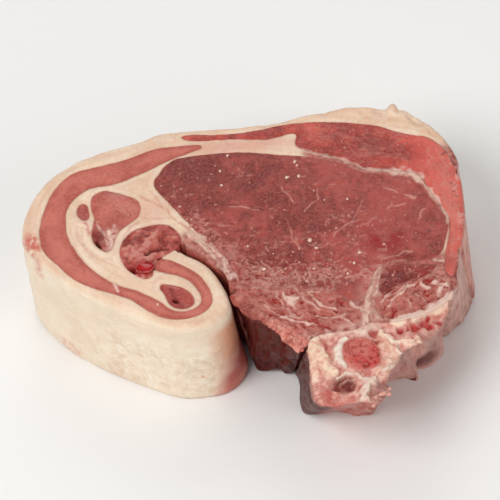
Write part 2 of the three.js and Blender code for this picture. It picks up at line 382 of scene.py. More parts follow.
class Finish:
    """A surface finish, put together from shader nodes; its sizes are in millimetres."""

    def __init__(self, name):
        self.material = bpy.data.materials.new(name)
        self.material.use_nodes = True
        self.nodes = self.material.node_tree.nodes
        self.links = self.material.node_tree.links
        self.surface = self.nodes["Principled BSDF"]
        place = self.nodes.new("ShaderNodeTexCoord").outputs["Object"]
        self.place = self.vector("SCALE", place, 1 / MM)

    def plug(self, socket, value):
        """Gives an input a number, a colour as it is seen, a node's output or a layer of the mesh."""
        if isinstance(value, str):
            value = self.add("ShaderNodeAttribute", "Fac", attribute_name=value)
        if isinstance(value, bpy.types.NodeSocket):
            self.links.new(value, socket)
        else:
            socket.default_value = srgb(*value) if socket.type == "RGBA" else value

    def add(self, kind, out, ins=None, **settings):
        """A node with these settings and inputs; its output."""
        node = self.nodes.new(kind)
        for key, value in settings.items():
            setattr(node, key, value)
        for key, value in (ins or {}).items():
            self.plug(node.inputs[key], value)
        return node.outputs[out]

    def set(self, **values):
        """Sets or links the surface's own inputs, by their names with _ for a space."""
        for key, value in values.items():
            self.plug(self.surface.inputs[key.replace("_", " ")], value)

    def plus(self, a, b):
        return self.add("ShaderNodeMath", 0, operation="ADD", ins={0: a, 1: b})

    def times(self, a, b):
        return self.add("ShaderNodeMath", 0, operation="MULTIPLY", ins={0: a, 1: b})

    def vector(self, operation, a, b):
        """Adds, subtracts, multiplies or scales a place or a direction."""
        ins = {0: a, "Scale" if operation == "SCALE" else 1: b}
        return self.add("ShaderNodeVectorMath", 0, operation=operation, ins=ins)

    def range(self, value, low, high, start=0.0, end=1.0):
        """A smooth step from start where the value is low to end where it is high."""
        ins = {"Value": value, "From Min": low, "From Max": high, "To Min": start, "To Max": end}
        return self.add("ShaderNodeMapRange", "Result", interpolation_type="SMOOTHSTEP", ins=ins)

    def mix(self, part, a, b):
        """Colour a where part is 0 and b where it is 1."""
        return self.add("ShaderNodeMix", 2, data_type="RGBA", ins={0: part, 6: a, 7: b})

    def shades(self, value, low, high, a, b):
        """Colour a where the value is low, passing smoothly to b where it is high."""
        return self.mix(self.range(value, low, high), a, b)

    @property
    def colour(self):
        """The colour that the surface has so far."""
        return self.surface.inputs["Base Color"].links[0].from_socket

    def coat(self, part, shade):
        """Covers the colour so far with this shade where part is 1, and not at all where it is 0."""
        self.set(Base_Color=self.mix(part, self.colour, shade))

    def stretched(self, x, y, z):
        """The place, with each direction scaled; the pattern is drawn out where that is small."""
        return self.vector("MULTIPLY", self.place, (x, y, z))

    def noise(self, size, detail=3.0, place=None):
        """Soft random variation from 0 to 1 with patches of about this size."""
        ins = {"Vector": place or self.place, "Scale": 1 / size, "Detail": detail, "Roughness": 0.55}
        return self.add("ShaderNodeTexNoise", "Fac", ins=ins)

    def cells(self, size, place=None, feature="DISTANCE_TO_EDGE"):
        """How far a point is from the walls between irregular cells of this size."""
        ins = {"Vector": place or self.place, "Scale": 1 / size, "Randomness": 1.0}
        return self.add("ShaderNodeTexVoronoi", "Distance", feature=feature, ins=ins)

    def warped(self, place, size, amount):
        """The place pushed about by soft noise."""
        ins = {"Vector": place, "Scale": 1 / size, "Detail": 2.0}
        push = self.vector("SUBTRACT", self.add("ShaderNodeTexNoise", "Color", ins=ins), (0.5, 0.5, 0.5))
        return self.vector("ADD", place, self.vector("SCALE", push, amount))

    def relief(self, *heights):
        """Bumps from pairs of a value and the millimetres that it stands for."""
        total = 0.0
        for value, height in heights:
            ins = {0: value, 1: height * MM, 2: total}
            total = self.add("ShaderNodeMath", 0, operation="MULTIPLY_ADD", ins=ins)
        bump = self.add("ShaderNodeBump", 0, ins={"Strength": 1.0, "Distance": 1.0, "Height": total})
        self.links.new(bump, self.surface.inputs["Normal"])


def line_distance(at, points):
    """How far each place is from a line through these points."""
    x, y = at
    best = np.full(len(x), FAR)
    for (ax, ay), (bx, by) in zip(points, points[1:]):
        length = max((bx - ax) ** 2 + (by - ay) ** 2, TINY)
        t = np.clip(((x - ax) * (bx - ax) + (y - ay) * (by - ay)) / length, 0, 1)
        best = np.minimum(best, np.hypot(x - ax - t * (bx - ax), y - ay - t * (by - ay)))
    return best


def near_line(at, points, width):
    """1 on a line through these points, falling to 0 at this distance from it."""
    return 1 - ease(line_distance(at, points), 0, width)


def near_spot(at, cx, cy, rx, ry=None, turn=0.0):
    """1 in the middle of an oval spot, falling to 0 outside it; turn is in degrees."""
    x, y = at
    c, s = math.cos(math.radians(turn)), math.sin(math.radians(turn))
    u = ((x - cx) * c + (y - cy) * s) / rx
    v = ((y - cy) * c - (x - cx) * s) / (ry or rx)
    return 1 - ease(np.hypot(u, v), 0.35, 1.3)


def strokes(at, lines, wander, seed, ragged=0.0):
    """Fine lines on the cut: 1 on a line and 0 away from it, each uneven in width.

    A line is given by its points, its width and its strength; ragged is how much it breaks up.
    """
    x, y = at
    bent = np.array([v + wander * cloud(at, 1.7, seed + k) for k, v in enumerate(at)])
    uneven = 1 + 0.7 * cloud(at, 1.2, seed + 2)
    drawn = np.zeros(len(x))
    for points, width, strength in lines:
        reach = width + 2 * wander
        low, high = np.min(points, axis=0) - reach, np.max(points, axis=0) + reach
        near = (x > low[0]) & (x < high[0]) & (y > low[1]) & (y < high[1])
        half = 0.5 * width * uneven[near]
        far = line_distance(bent[:, near], points)
        drawn[near] = np.maximum(drawn[near], strength * (1 - ease(far, 0.4 * half, half + 0.16)))
    if ragged:
        breaks = cloud(at, 0.75, seed + 3) + 0.5 * cloud(at, 1.6, seed + 4)
        drawn *= 1 - ragged * ease(breaks, -0.1, 0.5)
    return drawn


def haze(at, points, width, seed):
    """A ragged pale smear along a line, the same in the tissues on both its sides."""
    ragged = cloud(at, 1.3, seed) + 0.5 * cloud(at, 0.6, seed + 1)
    return near_line(at, points, width) * ease(ragged, -0.6, 0.6)


def along_line(points, t):
    """The place at a share t of the way along a line."""
    line = np.array(points, float)
    run = np.concatenate([[0], np.cumsum(np.hypot(*np.diff(line, axis=0).T))])
    return np.array([np.interp(t * run[-1], run, line[:, k]) for k in (0, 1)])


def hairs(upper, lower, count, longest, width, random):
    """Fine lines strewn between two edges, lying the way that the edges run."""
    lines = []
    for _ in range(count):
        share, start = random.random(2)
        spots = np.linspace(start, min(start + random.uniform(0.25, 1) * longest, 1), 4)
        points = [(1 - share) * along_line(upper, t) + share * along_line(lower, t) for t in spots]
        lines.append((points, width * random.uniform(0.5, 1.6), random.uniform(0.35, 1)))
    return lines


def strewn(zones, random):
    """Places strewn over patches of the cut, thickest in the middle of each.

    A patch is how many places it has, its middle, its half width and half depth, and its turn.
    """
    for count, (cx, cy), wide, deep, turn in zones:
        c, s = math.cos(math.radians(turn)), math.sin(math.radians(turn))
        for u, v in random.normal(0, 0.5, (count, 2)) * (wide, deep):
            yield np.array([cx + c * u - s * v, cy + s * u + c * v])


def curls(zones, longest, width, random, heading=0, spread=180):
    """Short bent lines strewn over patches of the cut, their headings in degrees."""
    lines = []
    for middle in strewn(zones, random):
        size = min(0.3 + random.exponential(0.35 * longest), longest)
        toward, bend = math.radians(heading + spread * random.uniform(-1, 1)), random.uniform(-1, 1)
        ahead = size * np.array([math.cos(toward), math.sin(toward)])
        aside = bend * np.array([-ahead[1], ahead[0]])
        points = [middle + t * ahead + (0.25 - t * t) * aside for t in (-0.5, -0.2, 0.2, 0.5)]
        lines.append((points, width * random.uniform(0.5, 1.5), random.uniform(0.2, 1)))
    return lines


def wall_lumps(within):
    """The soft unevenness of the chop's side, the same for the tissues that meet there."""
    return 0.3 * cloud(within, 8, 21) + 0.12 * cloud(within, 2.6, 22)


def sheath(finish, dull, pale):
    """The shade of the streaky silver skin that covers bare meat and bone."""
    upright = finish.noise(1.4, 3, finish.warped(finish.stretched(1, 1, 0.28), 3, 1.6))
    return finish.shades(upright, 0.28, 0.72, dull, pale)


def soft_fat_rim(at):
    """The flap's fat is rounder at its rim than the thin skin on the backbone's side."""
    x, y = at
    flap = ease(-x, 4, 14) * ease(12 - y, -30, 0)
    roll = near_spot(at, -6, -12, 5)
    cleft = near_line(at, [(-14, 6), (-9, 2.5), (-6, -3), (-4.5, -9)], 2.2)
    return 0.55 * most(flap, roll) * (1 - cleft) + 0.35 * ease(y, 33, 37)


CAP_SEAM = [
    (12.6, 29.8), (17.1, 27.6), (21.6, 25.6), (26.7, 22.1), (30.5, 21.2), (35, 19.8), (37.6, 18.3),
    (39.2, 14.6), (41.8, 9.1), (42.5, 4.9),
]
PLATE_LINE = [(28.4, -20.4), (31, -19.5), (34.6, -18.8), (37.6, -17.2), (41.4, -15)]
SEPTUM = [(27, -4.6), (25.8, -7.1), (24.3, -10.8), (23.2, -13.7), (22.2, -18.2), (21.6, -21.2)]
SEPTUM_FOOT = [(24.4, -12), (23.2, -16), (22.2, -20.6)]
BONE_EDGE = [(9.6, -21.6), (12, -21.3), (16, -21), (20, -20.8), (24, -21)]
SKIRT_ARC = [(-23.2, 13.6), (-24.8, 12.3), (-26.2, 10), (-27.3, 7.9), (-28.2, 6.5)]
EYE_FOOT = [(-4, -5.4), (4, -6.4), (12, -8), (18, -11), (21.6, -14.6)]
CORNER_TOP = [(28.4, -4.4), (32, -3.6), (38, -4.6)]
CLEFT = [(-12.4, 8.6), (-8.4, 3.6), (-5.9, -0.5), (-4.2, -4.5), (-2.6, -8.5)]
random = np.random.default_rng(31)
# Marks that cross from one tissue into the next, where each tissue draws them from the same numbers.
# For strokes these are the lines, how far they wander, a seed and how much they break up, and for
# haze its line, its width and a seed. First the whiter stretches of the seam under the cap.
CAP_KNOTS = (
    [
        (CAP_SEAM[:4], 0.7, 0.7), ([(26.6, 22.2), (30.5, 21.2), (34, 20.2)], 1.0, 0.9),
        ([(33, 20.5), (36, 19.6), (38, 17.6)], 2.2, 1), ([(37.6, 18), (39.6, 14), (41, 10.6)], 1.3, 0.9),
        ([(41, 10.6), (42.2, 7), (42.5, 4.9)], 0.9, 0.7),
    ],
    0.4, 193, 0.4,
)
# The band of pale gristle along the bone's upper edge.
UPPER_PLATE = ([(PLATE_LINE, 2.6, 1)], 0.3, 137)
# The fine hairs on the eye's edge above the cleft.
SIDE_EDGES = (
    [(-13.4, 11), (-10, 6.6), (-7, 1.6), (-4.8, -3.6)],
    [(-9.6, 9.6), (-6.6, 4.8), (-4.4, 0.2), (-3, -3.4)],
)
SIDE_HAIRS = (hairs(*SIDE_EDGES, 110, 0.2, 0.3, random), 0.2, 28, 0.6)
# The curled shreds that lie over the seam between the eye and the sinewy muscle below it.
EDGE_CURLS = (curls([(320, (8, -5.8), 16, 4, -7)], 1.6, 0.36, random), 0.15, 37, 0.4)
# The torn pale tissue over the septum, its foot and the seam between the sinewy muscle and the bone.
SEPTUM_HAZE = (SEPTUM, 4, 191)
FOOT_HAZE = (SEPTUM_FOOT, 4, 187)
BONE_HAZE = (BONE_EDGE, 2.4, 189)
SEPTUM_EDGES = ([(26.4, -5), (23.8, -11), (21, -19.6)], [(27.6, -5), (26.2, -11), (25.8, -19.6)])
SEPTUM_HAIRS = hairs(*SEPTUM_EDGES, 80, 0.35, 0.4, random)
# Each strand of sinew in the fat: its points, its width and its strength.
FAT_STRANDS = [
    (SEPTUM, 0.7, 0.8), (SKIRT_ARC, 0.9, 0.8), (CAP_SEAM, 0.6, 0.75),
    ([(26.8, -7.6), (26, -9.8), (24.9, -13)], 0.6, 1), ([(23.6, -15), (22.7, -18), (22.6, -20)], 0.7, 1),
    ([(20, -14.2), (21.6, -16.2), (22.2, -18.6)], 0.6, 0.8),
    ([(24.6, -14.6), (24.4, -17), (25, -19.4)], 0.5, 0.7),
    ([(33.4, 20.5), (36.4, 19.4), (38.4, 16.8)], 1.3, 0.9),
    ([(24.6, 23.8), (27.6, 22), (31.6, 21.3)], 0.8, 0.9),
    ([(28, -4.2), (30, -3.8), (34, -3.6)], 0.3, 0.5), ([(38.2, -4.6), (41.6, -6.4)], 0.9, 0.8),
    ([(-33.2, 16.9), (-32.4, 15.6)], 0.9, 0.9), ([(-31.9, 24.4), (-29, 26), (-25, 25)], 0.5, 0.6),
    ([(-33.8, 17.6), (-33.9, 14.8), (-33.2, 12.4)], 0.5, 0.9),
]
# Each thin line of tan or reddish tissue in the fat.
TAN_LINES = [
    ([(-21.5, 21.6), (-19, 19.4), (-16.8, 17.4)], 0.5, 0.8),
    ([(-18.9, 22.6), (-17.4, 18.9), (-14.4, 13.8)], 0.5, 0.8),
    ([(-13.8, 13.1), (-12, 11), (-10.4, 9)], 0.6, 1),
    ([(-25.8, 11.6), (-24.4, 13.3), (-22.6, 14.4)], 0.8, 0.9),
    ([(-36, 14), (-34.6, 10), (-31.6, 6), (-27.4, 2.6)], 0.5, 0.5),
    ([(-22.4, 16), (-19, 14.8), (-15.4, 14.6)], 0.5, 0.6),
    ([(-11.8, 5.2), (-9.1, 2.9), (-7.4, 0.1), (-5.3, -3.7), (-4.4, -7.7)], 0.7, 1),
]

fat = Tissue("fat", FAT_SPACING, WALL_STEPS, soft_fat_rim)
at = x, y = fat.at
depth, within = fat.depth, fat.within
cut = ease(0.7 - depth, 0, 0.6)
fat.rise += 0.12 * ease(fat.seam, 0, 1.2) - 0.2 * (1 - ease(fat.rim, 0, 1.6))
lumps = wall_lumps(within) + 0.6 * cloud(within, 4, 126) * ease(y, 29, 33)
back_rim = ease(y, 27, 31) * (1 - ease(fat.rim, 0.4, 3.4)) * (0.4 + 0.6 * ease(x, -6, 12))
fat.rise += back_rim * (0.55 * cloud(at, 3.6, 129) + 0.25 * cloud(at, 1.4, 130))
tag = (1 - ease(abs(x - 34), 0.2, 1.4)) * ease(y, 30, 34)
fat.rise += 1.2 * tag * (1 - ease(fat.rim, 0, 1.6))
fat.push += tag * fat.free * ease(depth, 0, 0.6) * ease(3.5 - depth, 0, 2.5)
fat.bulge(lumps, ease(depth, 0.5, 3))
bands = cloud((fat.seam * 1.1, 0.12 * x, 0.12 * y), 0.8, 24) * cut
fat.layers["band"] = 0.5 + 0.5 * bands
fat.rise += 0.05 * bands

# Where the fat thins to a membrane over lean meat, at the cleft and on the backbone's side.
in_cleft = ease(x + 0.9 * y, -10.4, -8.6)
fat.layers["membrane"] = most(
    near_line(at, CLEFT, 2.8) * in_cleft,
    ease(x, 40.5, 43.5) * ease(29 - y, 0, 5),
    ease(x, 22, 26) * ease(-y, 1, 5),
)
# Where meat shows through the thinnest seams.
lean = most(
    near_line(at, CAP_SEAM, 4) * ease(x, 13, 15),
    2 * near_line(at, EYE_FOOT, 2.8),
    2 * near_line(at, CORNER_TOP, 2.4),
    2.4 * near_line(at, SEPTUM, 5),
    1.5 * near_spot(at, -19.6, 3, 1.5, 1.3),
    2 * near_line(at, BONE_EDGE, 2.6),
)
# The fat's walls in the narrow cleft, and a spot at its upper end, are painted lean red: painted shade in
# the crevice.
cleft_shade = near_line(at, CLEFT, 3.2) * in_cleft * ease(depth, 0.2, 1.2)
cleft_shade = most(cleft_shade, near_spot(at, -13.2, 6, 1.6, 2.4, 30))
fat.layers["lean"] = np.clip(most(cut * lean, 1.5 * cleft_shade), 0, 1)
fat.layers["septum"] = cut * strokes(at, [(SEPTUM, 0.8, 0.64), (SEPTUM[2:], 1.4, 0.4)], 0.6, 132, 0.8)
strand = most(
    strokes(at, FAT_STRANDS, 0.25, 25, 0.5),
    strokes(at, *SIDE_HAIRS),
    0.55 * strokes(at, SEPTUM_HAIRS, 0.25, 128, 0.6),
    0.4 * strokes(at, *EDGE_CURLS),
    0.8 * strokes(at, *CAP_KNOTS),
    strokes(at, *UPPER_PLATE),
    0.2 * haze(at, *SEPTUM_HAZE),
    0.45 * haze(at, *FOOT_HAZE),
    0.5 * haze(at, *BONE_HAZE),
)
fat.layers["strand"] = cut * strand
fat.rise += 0.14 * strand * cut
fat.layers["tan"] = 0.6 * cut * strokes(at, TAN_LINES, 0.25, 30, 0.5)

fat.layers["pink"] = most(
    0.7 * near_spot(at, 1, 32.7, 15, 2.4, -4),
    0.5 * near_spot(at, -20, 17.5, 6, 4),
    0.16 * ease(cloud(within, 5, 23), 0.2, 0.9),
)
inner_edge = near_line(at, [(-33.6, 16.4), (-33, 13.8), (-32.4, 11.4)], 0.9) * cut
fat.layers["stain"] = most(
    near_spot(at, -44.7, 12.5, 1.4, 3.4, 15) * ease(3.5 - depth, 0, 3),
    0.6 * near_spot(at, -43.6, 9.2, 1.8, 2) * near_spot((depth, 0), 3, 0, 3.5),
    0.5 * near_spot((x, depth), -39.7, 23.5, 3.4, 2) * ease(3 - y, -5, 0),
    near_line(at, [(-17, 39.2), (-14, 40), (-11.4, 40)], 1.1) * ease(1.5 - depth, 0, 1),
    inner_edge * ease(cloud(at, 1.1, 133), -0.3, 0.5),
)
# The roll's right side is painted orange towards the cleft and red further down, towards its foot.
roll_side = ease(x, -12, -7) * fat.free * ease(4 - y, 0, 8) * ease(depth, 1, 5) * (x < 0)
fat.layers["warm"] = np.where(fat.wall, roll_side * (0.8 + 0.4 * cloud(within, 4, 26)), 0)
roll_side_red = ease(x + 0.25 * depth, -5.6, -2.6) * fat.free * ease(depth, 6, 13) * (x < 0) * ease(-y, -2, 4)
fat.layers["roll_side_red"] = np.where(fat.wall, roll_side_red * (0.85 + 0.4 * cloud(within, 3, 27)), 0)
top_tan = 0.65 * near_line(at, [(26, 36.6), (34, 34.6), (40, 31.6), (44, 28.6)], 2.2) * cut
top_tan = top_tan * (0.6 + 0.6 * cloud(at, 1.6, 131))
fat.layers["top_tan"] = most(top_tan, 0.2 * ease(y, 35, 38) * ease(x, -20, -8))
fat.layers["crackle"] = np.where(fat.wall, ease(2 - y, 0, 8) * ease(depth, 4, 12) * ease(-x, 2, 5), 0)

ivory = Finish("ivory_fat")
broad = ivory.noise(7, 3)
fine = ivory.noise(0.9, 4)
cut_fat = ivory.shades(broad, 0.3, 0.75, (232, 201, 173), (222, 185, 157))
skin_fat = ivory.shades(broad, 0.3, 0.75, (242, 224, 200), (231, 210, 184))
ivory.set(Base_Color=ivory.mix("wall", cut_fat, skin_fat))
ivory.coat(ivory.range(fine, 0.35, 0.7, 0, 0.35), (244, 226, 204))
ivory.coat(ivory.range("band", 0.55, 0.95, 0, 0.6), (245, 224, 200))
ivory.coat(ivory.range("band", 0.45, 0.05, 0, 0.45), (216, 170, 142))
streaks = ivory.noise(1.0, 4, ivory.warped(ivory.stretched(0.16, 0.16, 1.2), 4, 1.2))
ivory.coat(ivory.times("wall", ivory.range(streaks, 0.45, 0.8, 0, 0.4)), (228, 200, 170))
lobes = ivory.cells(2.2, ivory.warped(ivory.place, 3, 2.4))
net = ivory.range(lobes, 0.14, 0.0, 0, 0.45)
ivory.coat(ivory.times("crackle", net), (252, 242, 228))
mottle = ivory.range(ivory.noise(2.4, 4), 0.45, 0.7, 0, 0.55)
ivory.coat(ivory.times("crackle", mottle), (214, 184, 152))
ivory.coat("top_tan", (220, 172, 134))
ivory.coat("pink", (218, 160, 140))
ivory.coat(ivory.times("warm", 0.9), (232, 166, 128))
ivory.coat(ivory.times("roll_side_red", 0.9), (196, 92, 84))
stained = ivory.times("stain", ivory.range(ivory.noise(1.3, 3), 0.3, 0.62))
ivory.coat(stained, (200, 100, 86))
flecks = ivory.cells(9, ivory.warped(ivory.place, 2, 1.0), "F1")
ivory.coat(ivory.range(flecks, 0.075, 0.04, 0, 0.6), (219, 158, 122))
ivory.coat(ivory.range("seam", 0.0, 0.4, 0.5, 0.0), (200, 126, 102))
skin = ivory.shades(ivory.noise(1.1, 4), 0.35, 0.68, (138, 56, 49), (194, 126, 111))
side_skin = sheath(ivory, (162, 108, 98), (214, 166, 150))
ivory.coat("membrane", ivory.mix("wall", skin, side_skin))
# Lean red where meat shows through thin seams, and painted shade on the walls of the cleft.
ivory.coat("lean", ivory.shades(fine, 0.3, 0.7, (138, 54, 47), (182, 98, 86)))
ivory.coat("septum", ivory.shades(ivory.noise(0.7, 4), 0.35, 0.65, (162, 82, 71), (194, 128, 114)))
ivory.coat("tan", (192, 112, 92))
ivory.coat("strand", (226, 190, 172))
ivory.relief((broad, 0.12), (fine, 0.05), (streaks, 0.06), (net, 0.1), (mottle, 0.08))
ivory.set(Roughness=0.46, Subsurface_Weight=0.25, Subsurface_Scale=0.0012)
ivory.set(Subsurface_Radius=(1.0, 0.55, 0.35))

fat_piece = fat.piece("back_and_flap_fat", ivory)
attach(fat_piece, "root")
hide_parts("fat")

# ----------------------------------------------------------------------------------------------
# The eye of the chop, the long muscle of the back, cut across its fibres. It is dusky red and
# moist, with a few pale veins, a brighter patch by the backbone and a thin silvery edge.

EYE_SPACING = 0.22
VEINS = [
    [(8.3, 11), (8.9, 8), (10, 4), (10.8, 2)],
    [(8.5, 20), (9.3, 17.5), (10.5, 15)],
    [(16, 18), (15.6, 16.5), (16, 15), (13, 12)],
    [(18, 4), (20, 6), (22, 7.5), (25, 7.5), (28.5, 8.5), (31, 10.5), (34, 11.5)],
    [(22, 7.5), (24, 10), (25.4, 13.4)],
    [(33, 5.5), (34.5, 6.3), (36, 6.5), (38, 9)],
    [(24, 0), (26, -2), (27.5, -4.2)],
    [(27.5, -4), (30, -2.6), (34, -2.2)],
    [(-6, 17), (-1, 15.5), (3, 13.6)],
    [(-9, 12), (-3, 10.5), (1, 8)],
    [(30, 16), (33, 13.6), (36.6, 12.4)],
]
SMEARS = [
    # how many, the middle, half width, half depth and turn of the patch that they lie in
    (110, (-8.6, 9.6), 3, 14, 28),
    (120, (-3.4, 2.6), 9, 3.4, -44),
    (60, (15, 2), 19, 8, 0),
]
# The patches that pale grains lie in: the middle, half width, half depth, turn and how thickly.
GRAIN_PATCHES = [
    ((8, -3.4), 19, 4.6, -5, 0.75),
    ((-8.6, 9.4), 3.4, 15, 28, 0.6),
    ((14, 4), 24, 11, 0, 0.42),
    ((2, 22), 20, 9, -6, 0.22),
]


def lean_finish(name, deep, bright, pale, grain=1.1, coarse=0.2, shine=0.4):
    """Raw lean meat: bundles of fibres in a fine net of pale tissue, painted by the mesh's layers."""
    meat = Finish(name)
    place = meat.warped(meat.stretched(1, 1, 0.15), 3.5, 1.6)
    broad = meat.noise(4.5, 4)
    fine = meat.noise(0.5, 3, place)
    net = meat.cells(grain, place)
    tone = meat.plus("tone", meat.range(broad, 0.2, 0.8, -0.3, 0.3))
    meat.set(Base_Color=meat.shades(tone, 0, 1, deep, bright))
    meat.coat(meat.range(fine, 0.3, 0.7, 0, 0.4), pale)
    meat.coat(meat.range(meat.noise(0.8, 4, place), 0.45, 0.25, 0, 0.45), deep)
    meat.coat(meat.range(net, 0.14, 0.0, 0, coarse), pale)
    meat.coat("red", (150, 34, 34))
    edge = meat.plus("seam", meat.range(meat.noise(1.1), 0.3, 0.7, -0.25, 0.3))
    meat.coat(meat.range(edge, 0.02, 0.3, 0.35, 0), (190, 108, 92))
    meat.coat("pale", (200, 134, 120))
    meat.coat("white", (228, 192, 178))
    # Dark patches of the meat, and painted shade in slits, holes and fissures and on the side below the
    # sinewy muscle.
    meat.coat("dark", (78, 22, 17))
    wet = meat.range(meat.noise(2.2, 3), 0.3, 0.7, shine - 0.08, shine + 0.12)
    meat.relief((net, 0.1), (fine, 0.1), (broad, 0.1))
    meat.set(Roughness=wet, Subsurface_Weight=0.12, Subsurface_Scale=0.001)
    meat.set(Specular_IOR_Level=0.3, Subsurface_Radius=(1.0, 0.3, 0.2))
    return meat


def grains(at, patches, size, seed):
    """Ragged pale specks of about this size, thickest in the middle of each patch."""
    thick = np.full(len(at[0]), 0.12)
    for (cx, cy), wide, deep, turn, share in patches:
        thick = most(thick, share * near_spot(at, cx, cy, wide, deep, turn))
    ragged = cloud(at, size, seed) + 0.6 * cloud(at, 1.9 * size, seed + 1)
    return ease(ragged, 0.95 - 0.75 * thick, 1.35 - 0.75 * thick)


def lean_tissue(node, spacing, wall_steps=0):
    """A muscle, with the layers that lean_finish paints with; they are empty so far."""
    tissue = Tissue(node, spacing, wall_steps)
    for layer in ("tone", "red", "pale", "white", "dark"):
        tissue.layers[layer] = np.zeros_like(tissue.depth)
    return tissue


eye = lean_tissue("loin_eye", EYE_SPACING)
at = eye.at
x = at[0]
eye.rise += 0.12 * ease(eye.seam, 0, 1.2) + 0.06 * cloud(at, 1.3, 31)
tone = 0.42 + 0.28 * cloud(at, 11, 32) + 0.2 * cloud(at, 3.5, 33) + 0.26 * cloud(at, 1.0, 39)
eye.layers["tone"] = tone + (0.25 * ease(x, 0, 30) - 0.4 * near_spot(at, -9, 27, 8, 4, -10))
red = near_spot(at, 28.5, 2, 5.5, 4) + 0.4 * near_spot(at, 23, 6.6, 3, 1.4)
red = red * ease(cloud(at, 2.2, 34), -0.8, 0.4)
veins = strokes(at, [(line, 0.3, 0.85) for line in VEINS], 0.55, 35)
veins = veins * ease(cloud(at, 2.2, 38), -0.7, 0.3)
edge_smears = strokes(at, *EDGE_CURLS)
smears = 0.7 * strokes(at, curls(SMEARS, 1.3, 0.34, np.random.default_rng(43)), 0.15, 47)
smears = most(smears, 0.7 * edge_smears)
specks = grains(at, GRAIN_PATCHES, 0.6, 48)
eye.layers["pale"] = most(veins, smears, 0.45 * specks, 0.8 * haze(at, *SEPTUM_HAZE))
gaps = near_spot(at, 8, -4, 17, 4.6, -6) * ease(cloud(at, 0.9, 145), -0.2, 0.6)
eye.layers["red"] = most(red, 0.5 * gaps * (1 - edge_smears))
eye.layers["dark"] = 0.5 * gaps * (1 - edge_smears) * ease(cloud(at, 0.6, 146), -0.1, 0.6)
side_hairs = strokes(at, *SIDE_HAIRS)
eye.layers["white"] = most(0.85 * side_hairs, 0.8 * strokes(at, *CAP_KNOTS), 0.2 * edge_smears)
relief = 0.04 * veins + 0.14 * smears + 0.08 * specks + 0.16 * side_hairs
eye.rise += relief - 0.18 * gaps * (1 - edge_smears)

dusky = lean_finish("dusky_lean", (102, 24, 19), (166, 70, 62), (182, 94, 83))
eye_piece = eye.piece("loin_eye_meat", dusky)
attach(eye_piece, "root")
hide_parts("loin_eye")

# ----------------------------------------------------------------------------------------------
# The cap muscle: a thin red strip in the back fat that thickens over the eye and turns down the
# chop's side. Its fibres are cut on a slant, so pale streaks run through the brighter meat.

CAP_SPACING = 0.26
CAP_STREAKS = [
    [(27, 28.2), (29.5, 26.6), (32.5, 27.4), (35.5, 28.6)],
    [(16, 33.8), (18.5, 35.2)],
    [(18, 33), (20.5, 34.8)],
    [(13.8, 32.4), (16, 35.6)],
    [(21, 30), (23, 31.4), (23.6, 32.4)],
    [(26, 25.6), (27.5, 27.2)],
    [(40.5, 25), (41.5, 22), (41, 19.5)],
    [(31, 24.4), (33.4, 25.2), (36.4, 24.6)],
]
CAP_FIBRES = [
    # upper edge, lower edge, how many and how long a share of the edges
    ([(14, 34.6), (24, 35), (36, 30.6)], [(15, 31), (26, 25), (36, 22)], 60, 0.16),
    ([(42, 27), (44.6, 20), (44.8, 6), (42.4, -6)], [(39.6, 22), (40.6, 15), (43, 6), (41.4, -4)], 46, 0.16),
]
CAP_SMEARS = [(30, (27, 28), 13, 4, -12), (40, (43, 12), 2.4, 16, 6)]
CAP_GRAINS = [((27, 28), 18, 6, -12, 0.3), ((43, 12), 3, 18, 6, 0.5)]

cap = lean_tissue("cap_muscle", CAP_SPACING, WALL_STEPS)
at = cap.at
x = at[0]
cap.bulge(wall_lumps(cap.within), ease(cap.depth, 0.5, 3))
cap.rise += 0.1 * ease(cap.seam, 0, 1) + 0.06 * cloud(at, 1.2, 41)
tone = 0.3 + 0.35 * cloud(at, 7, 42) + 0.2 * cloud(at, 2.2, 44)
cap.layers["tone"] = tone + 0.8 * ease(x, 36, 43) + 0.2 * ease(-x, -12, 2)
random = np.random.default_rng(53)
strands = [(line, 0.4, 0.6) for line in CAP_STREAKS]
for upper, lower, count, longest in CAP_FIBRES:
    strands += hairs(upper, lower, count, longest, 0.3, random)
strands = strokes(at, strands, 0.5, 45)
smears = strokes(at, curls(CAP_SMEARS, 1.2, 0.3, random), 0.12, 48)
specks = grains(at, CAP_GRAINS, 0.6, 143)
cap.layers["pale"] = most(0.4 * strands, 0.5 * smears, 0.4 * specks) + 0.16 * ease(x, 37, 43)
crumbly = ease(x, 43.6, 45.4) * ease(cloud(at, 0.8, 49), 0, 0.6)
cap.layers["white"] = most(0.4 * crumbly, 0.8 * strokes(at, *CAP_KNOTS))
blotches = ease(cloud(at, 2.4, 147) + 0.5 * cloud(at, 0.9, 148), 0.1, 0.9)
cap.layers["dark"] = 0.3 * blotches * ease(40 - x, 0, 5)
low_end = near_line(at, [(42.2, 0.5), (40.6, -7.4)], 1.0)
cap.layers["red"] = 0.3 * low_end + 0.25 * ease(cloud(at, 3, 50), 0.2, 0.8)
cap.rise += 0.1 * strands + 0.12 * smears + 0.15 * crumbly

salmon = lean_finish("salmon_lean", (140, 34, 28), (213, 84, 72), (208, 114, 99), 1.0, 0.2)
side_skin = salmon.mix(0.85, salmon.colour, sheath(salmon, (164, 98, 88), (220, 168, 150)))
salmon.coat("wall", side_skin)
cap_piece = cap.piece("cap_muscle_meat", salmon)
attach(cap_piece, "root")
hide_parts("cap_muscle")

# ----------------------------------------------------------------------------------------------
# The flap's muscle: a sheet of pale rose meat that follows the flap round and back into the roll.
# It is faintly striped along its length, and a white seam crosses it near the roll.

FLAP_SPACING = 0.28
FLAP_SEAM = [(-28.9, -1.2), (-28.3, -2.3), (-27.9, -3.6)]

